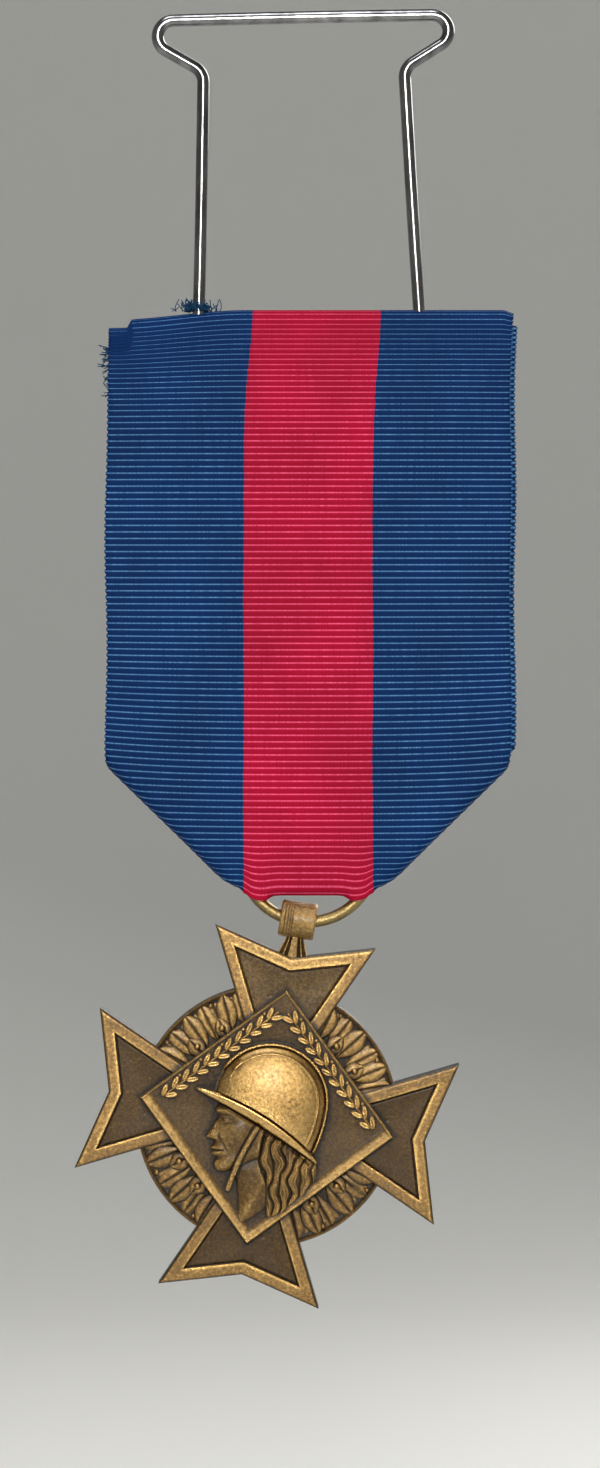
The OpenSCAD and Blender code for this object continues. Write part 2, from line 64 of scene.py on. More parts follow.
# ---- sizes taken from the frame ----
RING_AT = np.array(joints["ring_turn"]["pos_m"]) / MM
HINGE_AT = np.array(joints["medal_swing"]["pos_m"]) / MM
HINGE_AXIS = np.array(joints["medal_swing"]["axis"])
TURN = math.atan2(-HINGE_AXIS[2], HINGE_AXIS[0])
_low, _high = box_mm("cross")
CROSS_AT = (_low + _high) / 2
CROSS_H = (_high[1] - _low[1]) / 2
_low, _high = box_mm("suspension_ring")
RING_WIRE_R = (_high[1] - _low[1]) / 2
RING_R = (_high[0] - _low[0]) / 2 - RING_WIRE_R
_low, _high = box_mm("ribbon_centre_stripe")
CENTRE_HALF = (_high[0] - _low[0]) / 2
RIBBON_X = (_high[0] + _low[0]) / 2
HEM_Z = _high[2]
BOTTOM_Z = _low[2]
LAYER_Y = -_low[1]
HALF_W = (box_mm("ribbon_right_stripe")[1][0] - box_mm("ribbon_left_stripe")[0][0]) / 2
CORNER_Z = box_mm("right_corner_fold")[1][2] - 0.3
_low, _high = box_mm("pin_wire")
BEAD = 1.01  # a bead at each joint of the CAD's wire is this many times as thick as the wire
PIN_R = (_high[1] - _low[1]) / 2 / BEAD
HINGE_V = math.hypot(HINGE_AT[0] - CROSS_AT[0], HINGE_AT[2] - CROSS_AT[2])

# ---- other sizes, as in the part ----
CLOTH_T = 0.38
THREAD = 0.11
FOLD_HALF_W = 3.65
LAP_D = 10.0
TIP_U, TIP_V, NOTCH_V, ROOT_V = 7.42, 16.65, 14.64, 0.98
WREATH_R = 12.0
PLAQUE_SIDE = 16.57
PLAQUE_H = 0.55
BARREL_R, BARREL_HALF, BARREL_BORE = 1.7, 1.65, 0.85
rng = np.random.default_rng(7)


# ---- mesh helpers ----
def mesh_object(name, points, faces, material, body, values=None, keep_sharp=None):
    """A mesh piece from points in millimetres, with named numbers per point, riding on a body."""
    mesh = bpy.data.meshes.new(name)
    mesh.from_pydata((np.asarray(points, float) * MM).tolist(), [], [list(f) for f in faces])
    mesh.validate()
    mesh.update()
    for key, data in (values or {}).items():
        layer = mesh.attributes.new(key, "FLOAT", "POINT")
        layer.data.foreach_set("value", np.asarray(data, np.float32).ravel())
    obj = bpy.data.objects.new(name, mesh)
    bpy.context.scene.collection.objects.link(obj)
    mesh.materials.append(material)
    mesh.polygons.foreach_set("use_smooth", np.full(len(mesh.polygons), True))
    if keep_sharp is not None:
        mesh.set_sharp_from_angle(angle=math.radians(keep_sharp))
    if body:
        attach(obj, body)
    return obj


def grid_faces(rows, cols, offset=0, keep=None, flip=False):
    """The four-sided faces of a grid of points kept row by row."""
    i = np.arange(rows - 1)[:, None] * cols + np.arange(cols - 1)[None, :] + offset
    quads = np.stack([i, i + 1, i + cols + 1, i + cols], axis=-1)
    if flip:
        quads = quads[..., ::-1]
    return (quads.reshape(-1, 4) if keep is None else quads[keep]).tolist()


def ring_faces(rings, m, closed=False):
    """Faces between rings of m points each; closed joins the last ring to the first."""
    faces = []
    for i in range(rings if closed else rings - 1):
        here, there = i * m, (i + 1) % rings * m
        faces += [[here + j, here + (j + 1) % m, there + (j + 1) % m, there + j] for j in range(m)]
    return faces


def rim_of(rows, cols):
    """The indices round the edge of a grid, in order."""
    top = list(range(cols))
    right = [r * cols + cols - 1 for r in range(1, rows)]
    bottom = [(rows - 1) * cols + c for c in range(cols - 2, -1, -1)]
    left = [r * cols for r in range(rows - 2, 0, -1)]
    return top + right + bottom + left


def on_medal(u, v, y):
    """Points of the frame for places on the medal."""
    u, v, y = np.broadcast_arrays(u, v, y)
    c, s = math.cos(TURN), math.sin(TURN)
    x = CROSS_AT[0] + u * c + v * s
    z = CROSS_AT[2] - u * s + v * c
    return np.stack([x, CROSS_AT[1] + y, z], axis=-1)


def shell(u, v, y, y_base, flip=False):
    """Points and faces of a closed body between two height fields over one grid of places."""
    rows, cols = u.shape
    n = rows * cols
    points = np.concatenate([on_medal(u, v, y).reshape(-1, 3), on_medal(u, v, y_base).reshape(-1, 3)])
    faces = grid_faces(rows, cols, flip=flip) + grid_faces(rows, cols, n, flip=not flip)
    rim = rim_of(rows, cols)
    faces += [[a, b, b + n, a + n] if flip else [a, a + n, b + n, b] for a, b in zip(rim, rim[1:] + rim[:1])]
    return points, faces


def relief(name, u, v, front, back, material, wear_and_painted_light, grain, sharp=40):
    """A piece of the medal with a height field in front and one behind.

    Wear with painted shade and light, and grain, are one field each for both sides, or a pair for front and
    back.
    """
    points, faces = shell(u, v, -front, back)
    given = {"wear_and_painted_light": wear_and_painted_light, "grain": grain}
    given = {key: np.ravel(data if isinstance(data, tuple) else (data, data)) for key, data in given.items()}
    return mesh_object(name, points, faces, material, "medal", given, keep_sharp=sharp)


def blurred(h, step, width):
    """A height field smoothed over about that many millimetres."""
    r = max(1, int(round(width / step)))
    kernel = np.exp(-0.5 * (np.arange(-2 * r, 2 * r + 1) / r) ** 2)
    kernel /= kernel.sum()
    padded = np.pad(h, 2 * r, mode="edge")
    padded = np.apply_along_axis(lambda a: np.convolve(a, kernel, "valid"), 0, padded)
    return np.apply_along_axis(lambda a: np.convolve(a, kernel, "valid"), 1, padded)


def wear_of(h, step):
    """How much each place stands out from its surroundings: bright above, dark in hollows."""
    near = (h - blurred(h, step, 0.18)) / 0.05
    wide = (h - blurred(h, step, 0.8)) / 0.30
    return np.clip(0.55 * near + 0.6 * wide, -1, 1)


def tube(points, radius, sides=20, closed=False):
    """Points and faces of a round tube along a line; radius is one number or one per point."""
    p = np.asarray(points, float)
    ahead = np.roll(p, -1, 0) - np.roll(p, 1, 0) if closed else np.gradient(p, axis=0)
    ahead /= np.linalg.norm(ahead, axis=1)[:, None]
    up = np.array([0.0, 1.0, 0.0]) if abs(ahead[0][1]) < 0.9 else np.array([1.0, 0.0, 0.0])
    radii = np.full(len(p), float(radius)) if np.isscalar(radius) else np.asarray(radius, float)
    ring_points = []
    for here, t, r in zip(p, ahead, radii):
        up = up - t * (up @ t)
        up /= np.linalg.norm(up)
        side = np.cross(t, up)
        a = np.linspace(0, 2 * math.pi, sides, endpoint=False)[:, None]
        ring_points.append(here + r * (np.cos(a) * up + np.sin(a) * side))
    verts = np.concatenate(ring_points)
    faces = ring_faces(len(p), sides, closed)
    if not closed:
        faces += [list(range(sides))[::-1], list(range(len(verts) - sides, len(verts)))]
    return verts, faces


def joined(parts):
    """One list of points and faces from several."""
    points, faces, at = [], [], 0
    for p, f in parts:
        points.append(p)
        faces += [[i + at for i in face] for face in f]
        at += len(p)
    return np.concatenate(points), faces


def arc(centre, r, a0, a1, n):
    """Points on an arc in X and Z, angles in degrees from +X towards +Z."""
    a = np.radians(np.linspace(a0, a1, n))
    return np.stack([centre[0] + r * np.cos(a), np.zeros(n), centre[1] + r * np.sin(a)], axis=1)


def smooth_step(x, low, high):
    """0 below low, 1 above high, and smooth between."""
    t = np.clip((x - low) / (high - low), 0, 1)
    return t * t * (3 - 2 * t)


def bump_at(u, v, at, size, height, turn=0.0):
    """A soft bump, wider along u by size[0] and along v by size[1]."""
    c, s = math.cos(math.radians(turn)), math.sin(math.radians(turn))
    du, dv = u - at[0], v - at[1]
    return height * np.exp(-0.5 * (((du * c + dv * s) / size[0]) ** 2 + ((dv * c - du * s) / size[1]) ** 2))


def rounded_line(points, n=6):
    """A smooth closed outline through a few points."""
    p = np.asarray(points, float)
    out = []
    for i in range(len(p)):
        a, b, c, d = p[i - 1], p[i], p[(i + 1) % len(p)], p[(i + 2) % len(p)]
        for t in np.linspace(0, 1, n, endpoint=False):
            out.append(0.5 * (2 * b + (c - a) * t + (2 * a - 5 * b + 4 * c - d) * t**2
                              + (3 * b - a - 3 * c + d) * t**3))
    return np.array(out)


def inside_distance(u, v, outline):
    """Distance to a closed outline, positive inside it and negative outside."""
    best = np.full(u.shape, 1e9)
    inside = np.zeros(u.shape, bool)
    for a, b in zip(outline, np.roll(outline, -1, 0)):
        d = b - a
        t = np.clip(((u - a[0]) * d[0] + (v - a[1]) * d[1]) / max(d @ d, 1e-12), 0, 1)
        best = np.minimum(best, np.hypot(u - a[0] - t * d[0], v - a[1] - t * d[1]))
        crosses = (a[1] > v) != (b[1] > v)
        inside ^= crosses & (u < a[0] + (v - a[1]) * d[0] / (d[1] if d[1] else 1e-12))
    return np.where(inside, best, -best)


def to_segment(u, v, a, b):
    """Distance from a straight stretch, and how far along it the nearest place is, 0 to 1."""
    d = np.subtract(b, a)
    t = np.clip(((u - a[0]) * d[0] + (v - a[1]) * d[1]) / (d @ d), 0, 1)
    return np.hypot(u - a[0] - t * d[0], v - a[1] - t * d[1]), t


# ---- materials ----
def set_inputs(node, **sockets):
    """Sets a node's sockets by name, underscores standing for spaces, and returns the node."""
    for key, value in sockets.items():
        node.inputs[key.replace("_", " ")].default_value = value
    return node


def new_material(name):
    m = bpy.data.materials.new(name)
    m.use_nodes = True
    return m, m.node_tree, m.node_tree.nodes["Principled BSDF"]


def attribute(tree, name):
    n = tree.nodes.new("ShaderNodeAttribute")
    n.attribute_name = name
    return n.outputs["Fac"]


def place(tree, scale):
    """Object coordinates in millimetres times scale, for textures."""
    coords = tree.nodes.new("ShaderNodeTexCoord")
    mapping = tree.nodes.new("ShaderNodeMapping")
    set_inputs(mapping, Scale=[s / MM for s in scale])
    tree.links.new(coords.outputs["Object"], mapping.inputs["Vector"])
    return mapping.outputs["Vector"]


def noise(tree, scale, detail=3.0, rough=0.55):
    n = set_inputs(tree.nodes.new("ShaderNodeTexNoise"), Scale=1.0, Detail=detail, Roughness=rough)
    tree.links.new(place(tree, scale), n.inputs["Vector"])
    return n.outputs["Fac"]


def ramp(tree, value, stops):
    n = tree.nodes.new("ShaderNodeValToRGB")
    tree.links.new(value, n.inputs["Fac"])
    while len(n.color_ramp.elements) < len(stops):
        n.color_ramp.elements.new(0.5)
    for e, (at, color) in zip(n.color_ramp.elements, stops):
        e.position = at
        e.color = (*color, 1) if np.ndim(color) else (color, color, color, 1)
    return n.outputs["Color"]


def math_of(tree, how, a, b, clamp=False):
    n = tree.nodes.new("ShaderNodeMath")
    n.operation = how
    n.use_clamp = clamp
    for i, value in enumerate((a, b)):
        if isinstance(value, (int, float)):
            n.inputs[i].default_value = value
        else:
            tree.links.new(value, n.inputs[i])
    return n.outputs[0]


def mix_of(tree, factor, a, b, how="MIX"):
    n = tree.nodes.new("ShaderNodeMix")
    n.data_type = "RGBA"
    n.blend_type = how
    for key, value in (("Factor", factor), ("A", a), ("B", b)):
        socket = [s for s in n.inputs if s.name == key and s.enabled][0]
        if hasattr(value, "is_linked"):
            tree.links.new(value, socket)
        else:
            socket.default_value = value if np.isscalar(value) else (*value, 1)
    return [s for s in n.outputs if s.enabled][0]


def bumped(tree, shader, height, distance, strength=1.0):
    n = set_inputs(tree.nodes.new("ShaderNodeBump"), Strength=strength, Distance=distance * MM)
    tree.links.new(height, n.inputs["Height"])
    tree.links.new(n.outputs["Normal"], shader.inputs["Normal"])


def bronze(name, dark, mid, bright, rough=(0.27, 0.50)):
    """Struck bronze: brown in the hollows, rubbed bright where it stands out, with painted shade and light
    on some pieces.
    """
    m, tree, shader = new_material(name)
    wear_and_painted_light = attribute(tree, "wear_and_painted_light")
    grain = attribute(tree, "grain")
    cloud = noise(tree, (0.45, 0.45, 0.45), 4.0)
    speck = ramp(tree, noise(tree, (3.4, 3.4, 3.4), 4.0, 0.75), ((0.36, 0.0), (0.64, 1.0)))
    value = math_of(tree, "MULTIPLY_ADD", wear_and_painted_light, 0.42)
    value.node.inputs[2].default_value = 0.16
    value = math_of(tree, "ADD", value, math_of(tree, "MULTIPLY", cloud, 0.34))
    value = math_of(tree, "ADD", value, math_of(tree, "MULTIPLY", speck, 0.34), clamp=True)
    color = ramp(tree, value, ((0.12, dark), (0.52, mid), (0.98, bright)))
    tree.links.new(color, shader.inputs["Base Color"])
    tree.links.new(ramp(tree, value, ((0.22, 0.6), (0.55, 1.0))), shader.inputs["Metallic"])
    tree.links.new(ramp(tree, value, ((0.2, rough[1]), (0.95, rough[0]))), shader.inputs["Roughness"])
    set_inputs(shader, Coat_Weight=0.35, Coat_Roughness=0.36)
    rough_field = noise(tree, (3.6, 3.6, 3.6), 4.0, 0.8)
    bumped(tree, shader, math_of(tree, "MULTIPLY", rough_field, grain), 0.42)
    return m


def steel():
    """Bright wire with a slightly uneven tone."""
    m, tree, shader = new_material("steel_wire")
    set_inputs(shader, Metallic=1.0, Roughness=0.2)
    uneven = noise(tree, (0.7, 0.7, 0.25), 3.0)
    tone = ramp(tree, uneven, ((0.3, (0.09, 0.09, 0.093)), (0.7, (0.24, 0.24, 0.243))))
    tree.links.new(tone, shader.inputs["Base Color"])
    bumped(tree, shader, noise(tree, (14, 14, 3), 2.0), 0.008, 0.5)
    return m


def silk():
    """Ribbed ribbon: the stripe follows where a thread lies across it, the light the ridge it is on."""
    m, tree, shader = new_material("ribbon_silk")
    across = attribute(tree, "across")
    ridge = attribute(tree, "ridge")
    # the stripe's edge strays by a thread's width to both sides
    stray = math_of(tree, "MULTIPLY", noise(tree, (2.2, 2.2, 2.2), 2.0), 2 * THREAD)
    edge = math_of(tree, "SUBTRACT", math_of(tree, "ADD", across, stray), THREAD)
    red = math_of(tree, "LESS_THAN", math_of(tree, "ABSOLUTE", edge, 0.0), CENTRE_HALF)
    threads = noise(tree, (6.5, 1.0, 0.35), 3.0, 0.6)
    body = mix_of(tree, red, (0.0010, 0.019, 0.090), (0.33, 0.0025, 0.025))
    # painted highlight: each rib's crest gets a lighter colour, and below it the valleys get a painted shade
    crest = mix_of(tree, red, (0.13, 0.31, 0.56), (0.95, 0.15, 0.30))
    lit = math_of(tree, "MULTIPLY", ramp(tree, ridge, ((0.45, 0.0), (0.95, 1.0))),
                  ramp(tree, threads, ((0.3, 0.2), (0.75, 0.9))))
    color = mix_of(tree, lit, body, crest)
    shade = ramp(tree, ridge, ((0.0, 0.8), (0.4, 1.0)))
    color = mix_of(tree, 1.0, color, shade, "MULTIPLY")
    cloudy = ramp(tree, noise(tree, (0.12, 0.12, 0.12), 3.0), ((0.25, 0.72), (0.75, 1.0)))
    color = mix_of(tree, 1.0, color, cloudy, "MULTIPLY")
    tree.links.new(color, shader.inputs["Base Color"])
    set_inputs(shader, Roughness=0.7, Specular_IOR_Level=0.06)
    bumped(tree, shader, threads, 0.03, 0.6)
    return m


def matte(name, color, rough, specular=0.5):
    """One even colour without shine."""
    m, _, shader = new_material(name)
    set_inputs(shader, Base_Color=(*color, 1), Roughness=rough, Specular_IOR_Level=specular)
    return m


# ---- ribbon ----
RIB_PITCH = 0.60
RIB_H = 0.055
ROWS_PER_RIB = 6
FRONT_Y = -(LAYER_Y - CLOTH_T / 2 - 0.01)
BACK_Y = -FRONT_Y
LAP_Y = BACK_Y + CLOTH_T + 0.03
HEM_RISE = 0.8
FOLD_RISE = 0.7
FOLD_Z = BOTTOM_Z + 0.37 + CLOTH_T / 2 + FOLD_RISE
SLANT = np.array([HALF_W - CENTRE_HALF, CORNER_Z - BOTTOM_Z])
SLANT /= np.linalg.norm(SLANT)
OUTWARD = np.array([SLANT[1], -SLANT[0]])
SLANT_OUT = 0.94
FLAP_Y = LAP_Y + 0.2
FLAP_LEAN = 0.2325
FLAP_BACK = FLAP_Y - FLAP_LEAN * FRONT_Y


def rib_pitch(depth):
    """Rib spacing: the ribs crowd together towards the hem."""
    return RIB_PITCH * (1 - 0.27 * np.exp(-(np.maximum(depth, 0) / 8.5) ** 2))


def ribbon_path():
    """The ribbon's line in Y and Z, row by row, and which of its runs each row is in.

    Run 0 is the lap, 1 the hem, 2 the front, 3 the bottom fold and 4 the back.
    """
    hem_c = HEM_Z - CLOTH_T / 2 - HEM_RISE
    a = np.linspace(0, math.pi, 90)
    mid, half = (LAP_Y + FRONT_Y) / 2, (LAP_Y - FRONT_Y) / 2
    runs = [
        np.stack([np.full(200, LAP_Y), np.linspace(HEM_Z - LAP_D, hem_c, 200)], axis=1),
        np.stack([mid + half * np.cos(a), hem_c + HEM_RISE * np.sin(a)], axis=1),
        np.stack([np.full(900, FRONT_Y), np.linspace(hem_c, FOLD_Z, 900)], axis=1),
        np.stack([FRONT_Y * np.cos(a), FOLD_Z - FOLD_RISE * np.sin(a)], axis=1),
        np.stack([np.full(900, BACK_Y), np.linspace(FOLD_Z, hem_c - 0.2, 900)], axis=1),
    ]
    part = np.concatenate([np.full(len(r), i) for i, r in enumerate(runs)])
    line = np.concatenate(runs)
    step = np.linalg.norm(np.diff(line, axis=0), axis=1)
    phase = np.concatenate([[0], np.cumsum(step / rib_pitch(HEM_Z - (line[1:, 1] + line[:-1, 1]) / 2))])
    keep = np.concatenate([[True], step > 1e-9])
    rows = np.arange(0, phase[-1], 1 / ROWS_PER_RIB)
    y = np.interp(rows, phase[keep], line[keep, 0])
    z = np.interp(rows, phase[keep], line[keep, 1])
    run = np.interp(rows, phase[keep], part[keep])
    return rows, y, z, run


def hang_of(x, z, run):
    """How the soft cloth strays from its flat, straight run, sideways and up."""
    depth = HEM_Z - z
    near_hem = np.exp(-(depth / 7.0) ** 2)
    side = x / HALF_W
    aside = near_hem * (0.85 - 0.55 * side**2 - 0.1 * side)
    aside += 0.5 * smooth_step(run, 3.2, 4.0) * smooth_step(z, BOTTOM_Z + 6, CORNER_Z)
    droop = -0.9 * np.exp(-(depth / 5.5) ** 2) * smooth_step(-side, 0.35, 1.0)
    droop += -0.75 * np.exp(-(depth / 2.2) ** 2) * smooth_step(-side, 0.895, 0.915)
    droop += -0.25 * np.exp(-(depth / 2.0) ** 2) * smooth_step(side, 0.95, 1.0)
    smile = 0.55 * np.abs(side) ** 3 * np.exp(-((z - CORNER_Z) / 9.0) ** 2)
    wave = 0.10 * np.sin(0.31 * z + 2.4 * side) * side
    low = np.exp(-((np.maximum(z - BOTTOM_Z, 0) / 3.2) ** 2))
    x_abs = np.abs(x)
    pulled = low * (0.65 * smooth_step(x_abs, 5.0, 6.2) - 0.22 * np.exp(-(((x_abs - 4.3) / 0.9) ** 2)))
    return aside + wave, droop + smile + pulled


def open_beside_fold(x, y, z, run):
    """Beside the middle of the bottom fold both layers hang straight, so that the ring gets out."""
    rolled = np.abs(run - 3) < 0.999
    beside = smooth_step(np.abs(x), FOLD_HALF_W - 0.15, FOLD_HALF_W + 0.15)
    beside = beside * smooth_step(CENTRE_HALF + 0.3 - np.abs(x), 0, 0.3) * rolled
    drop = 1 - np.abs(np.arccos(np.clip(y / FRONT_Y, -1, 1)) / (math.pi / 2) - 1)
    hang_z = FOLD_Z - (FOLD_RISE + 0.5) * drop
    return y + beside * (np.where(y < 0, FRONT_Y, BACK_Y) - y), z + beside * (hang_z - z)


def folded(x, y, z):
    """Turns the cloth beyond each slanting edge up behind the ribbon."""
    side = np.where(x < 0, -1.0, 1.0)
    u = np.abs(x)
    start = np.array([CENTRE_HALF, BOTTOM_Z]) - OUTWARD * (SLANT_OUT + 0.1)
    d = (u - start[0]) * OUTWARD[0] + (z - start[1]) * OUTWARD[1]
    along = (u - start[0]) * SLANT[0] + (z - start[1]) * SLANT[1]
    y_end = FLAP_Y - FLAP_LEAN * y
    mid, half = (y + y_end) / 2, (y_end - y) / 2
    reach = SLANT_OUT * half / ((FLAP_BACK - FRONT_Y) / 2)
    length = math.pi * np.sqrt((reach**2 + half**2) / 2)
    turn = math.pi * np.clip(d / length, 0, 1)
    out = np.where(d > length, length - d, reach * np.sin(turn))
    out = np.where(d > 0, out, d)
    y_new = np.where(d > 0, mid - half * np.cos(turn), y)
    u_new = start[0] + along * SLANT[0] + out * OUTWARD[0]
    z_new = start[1] + along * SLANT[1] + out * OUTWARD[1]
    return side * u_new, y_new, z_new


def make_ribbon(material):
    """The whole folded ribbon as one sheet, thickened."""
    rows, y, z, run = ribbon_path()
    x = np.unique(np.concatenate([np.linspace(-HALF_W, HALF_W, 93),
                                  [-CENTRE_HALF, -FOLD_HALF_W, FOLD_HALF_W, CENTRE_HALF]]))
    flat_x = np.broadcast_to(x, (len(rows), len(x)))
    y, z, run = (np.broadcast_to(a[:, None], flat_x.shape) for a in (y, z, run))
    ridge = (0.5 + 0.5 * np.cos(2 * math.pi * (rows[:, None] + 0 * flat_x))) ** 0.8
    aside, rise = hang_of(flat_x, z, run)
    roll_y = y
    y, z = open_beside_fold(flat_x, y, z, run)
    edge = smooth_step(np.abs(flat_x), HALF_W - 0.45, HALF_W)
    swollen = flat_x + np.sign(flat_x) * edge * (0.17 * ridge - 0.08)
    free = smooth_step(HALF_W - np.abs(flat_x), 0, 6.0)
    billow = 0.22 * free * np.sin(0.13 * (z - HEM_Z)) ** 2 * ((run > 1.5) & (run < 3))
    px, py, pz = folded(swollen + aside, y - billow, z + rise)
    p = np.stack([px + RIBBON_X, py, pz], axis=-1)
    across, down = np.gradient(p, axis=1), np.gradient(p, axis=0)
    normal = np.cross(across, down)
    normal /= np.maximum(np.linalg.norm(normal, axis=-1, keepdims=True), 1e-9)
    p = p + normal * (RIB_H * (ridge - 0.5))[..., None]
    # the ring's wire comes out on both sides of the middle of the bottom fold
    middle = np.abs((flat_x[:-1, 1:] + flat_x[:-1, :-1]) / 2)
    open_gap = (middle > FOLD_HALF_W) & (middle < CENTRE_HALF)
    at_bottom = (roll_y[:-1, :-1] < 0) & (roll_y[1:, 1:] > 0) & (np.abs(run[:-1, :-1] - 3) < 0.9)
    faces = grid_faces(*flat_x.shape, keep=~(open_gap & at_bottom))
    ribbon = mesh_object("ribbon", p.reshape(-1, 3), faces, material, "ribbon",
                         {"across": flat_x, "ridge": ridge**2.4})
    thick = ribbon.modifiers.new("thickness", "SOLIDIFY")
    thick.thickness = CLOTH_T * MM
    thick.offset = 0
    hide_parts("ribbon_left_stripe", "ribbon_centre_stripe", "ribbon_right_stripe",
                "left_corner_fold", "right_corner_fold")


def stitch(middle, along, length=1.7, r=0.13, dip=0.28):
    """One stitch: a short thread that dips forward into the cloth at both ends."""
    t = np.linspace(-1, 1, 9)[:, None]
    line = np.asarray(middle) + t * np.asarray(along) * length / 2 - (t**4) * np.array([0, dip, 0])
    return tube(line, r, 8)


def make_stitches(material):
    """The row of stitches along the lap and the one down each turned-up corner."""
    in_lap, in_corner = 13, 5
    lap_y = LAP_Y + CLOTH_T / 2 + 0.09
    lap = [stitch((RIBBON_X + HALF_W * (2 * (i + 0.5) / in_lap - 1), lap_y, HEM_Z - LAP_D + 1),
                  (1, 0, 0.05 * math.sin(3.7 * i))) for i in range(in_lap)]
    points, faces = joined(lap)
    seam = mesh_object("lap_stitches_thread", points, faces, material, "ribbon")
    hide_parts("lap_stitches")
    low, high = box_mm("corner_stitches")
    flap_y = FLAP_BACK + CLOTH_T / 2 + 0.05
    corner = []
    for side in (-1, 1):
        for i in range(in_corner):
            up = low[2] + 1 + (high[2] - low[2] - 2) * i / (in_corner - 1)
            at = (RIBBON_X + side * (high[0] - low[0]) / 2, flap_y, up)
            corner.append(stitch(at, (0.08 * math.cos(5 * i + side), 0, 1)))
    points, faces = joined(corner)
    sewn = mesh_object("corner_stitches_thread", points, faces, material, "ribbon")
    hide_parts("corner_stitches")


def make_fray(material, prong_x):
    """Loose fibres round the hole that the left prong tore and along the worn upper left edge."""
    at_hole, at_edge, high_up = 150, 46, 34
    fibres = []
    for _ in range(at_hole):
        at = np.array([prong_x + rng.normal(0, 0.75), rng.normal(0.1, 0.45), HEM_Z - 0.1])
        lean = np.array([rng.normal(0, 0.45), rng.normal(0, 0.4), abs(rng.normal(0.65, 0.28))])
        fibres.append((at, lean))
    for i in range(at_edge):
        z = HEM_Z - 3.6 - abs(rng.normal(0, 1.5)) if i < high_up else HEM_Z - 7.0 + rng.normal(0, 0.5)
        at = np.array([RIBBON_X - HALF_W + 0.5, rng.uniform(-0.3, 0.9), z])
        lean = np.array([-abs(rng.normal(0.75, 0.28)), rng.normal(0, 0.3), rng.normal(0, 0.45)])
        fibres.append((at, lean))
    parts = []
    for at, lean in fibres:
        t = np.linspace(0, 1, 7)[:, None]
        curl = rng.normal(0, 0.22, 3)
        parts.append(tube(at + t * lean + t * (1 - t) * curl * 2, 0.045, 5))
    points, faces = joined(parts)
    fray = mesh_object("frayed_threads", points, faces, material, "ribbon")


# ---- pin and ring ----
def make_pin(material):
    """The bent wire, a line of points swept; returns where its left prong passes the hem."""
    tilt = math.atan2(joints["ribbon_slide"]["axis"][0], joints["ribbon_slide"]["axis"][2])
    half, bend_r, slope, prong_x, splay, knee_r, tip_z = 13.9, 1.47, 31.0, 9.2, 2.6, 1.6, 41.0
    c = (half - PIN_R - bend_r, -bend_r)
    end = -(90 - slope)
    out = arc(c, bend_r, end, end, 1)[0]
    k = math.tan(math.radians((90 - slope + splay) / 2)) * knee_r
    knee = np.array([prong_x, out[2] - (out[0] - prong_x) * math.tan(math.radians(slope))])
    lean = math.radians(splay)
    knee_out = knee + k * np.array([math.sin(lean), -math.cos(lean)])
    knee_c = knee_out + knee_r * np.array([math.cos(lean), math.sin(lean)])
    drop = np.linspace(0, 1, 60)[1:]
    length = (tip_z + knee_out[1]) / math.cos(lean)
    sway = 0.10 * np.sin(math.pi * drop)
    prong = np.stack([knee_out[0] + drop * length * math.sin(lean) - sway, 0 * drop,
                      knee_out[1] - drop * length * math.cos(lean)], axis=1)
    knee_arc = arc(knee_c, knee_r, 90 + slope, 180 + splay, 14)
    side = np.concatenate([arc(c, bend_r, 90, end, 26), knee_arc, prong])
    bow = 0.05 * np.cos(np.linspace(-1.5, 1.5, 40)) - 0.004
    bar = np.stack([np.linspace(-c[0], c[0], 40), np.zeros(40), bow], axis=1)
    whole = np.concatenate([side[::-1] * [-1, 1, 1], bar[1:-1], side])
    gone = np.concatenate([[0], np.cumsum(np.linalg.norm(np.diff(whole, axis=0), axis=1))])
    to_tip = np.minimum(gone, gone[-1] - gone)
    radius = PIN_R * np.clip(0.18 + 0.82 * (to_tip / 2.6) ** 0.8, 0, 1)
    ct, st = math.cos(tilt), math.sin(tilt)
    wx, wy, wz = whole.T
    turned = np.stack([wx * ct + wz * st, wy, wz * ct - wx * st], axis=1)
    points, faces = tube(turned, radius, 28)
    pin = mesh_object("pin", points, faces, material, "pin", keep_sharp=60)
    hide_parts("pin_wire")
    at_hem = turned[turned[:, 0] < 0]
    return at_hem[np.argmin(abs(at_hem[:, 2] - HEM_Z)), 0]


def make_ring(material):
    """The round wire ring with the swelling of its soldered joint."""
    a = np.linspace(0, 360, 181)[:-1]
    line = arc((RING_AT[0], RING_AT[2]), RING_R, 0, 358, 180)
    solder = RING_WIRE_R * (1 + 0.13 * np.exp(-((a - 96) / 5.0) ** 2))
    points, faces = tube(line, np.minimum(solder, RING_WIRE_R + 0.05), 28, closed=True)
    # lighter on the inner side of the wire and darker on its outer side
    wear_and_painted_light = 0.3 * np.sin(np.arange(len(points)) * 2 * math.pi / 28)
    ring = mesh_object("ring", points, faces, material, "ring", {"wear_and_painted_light": wear_and_painted_light, "grain": 0.12 + 0 * wear_and_painted_light})
    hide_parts("suspension_ring")


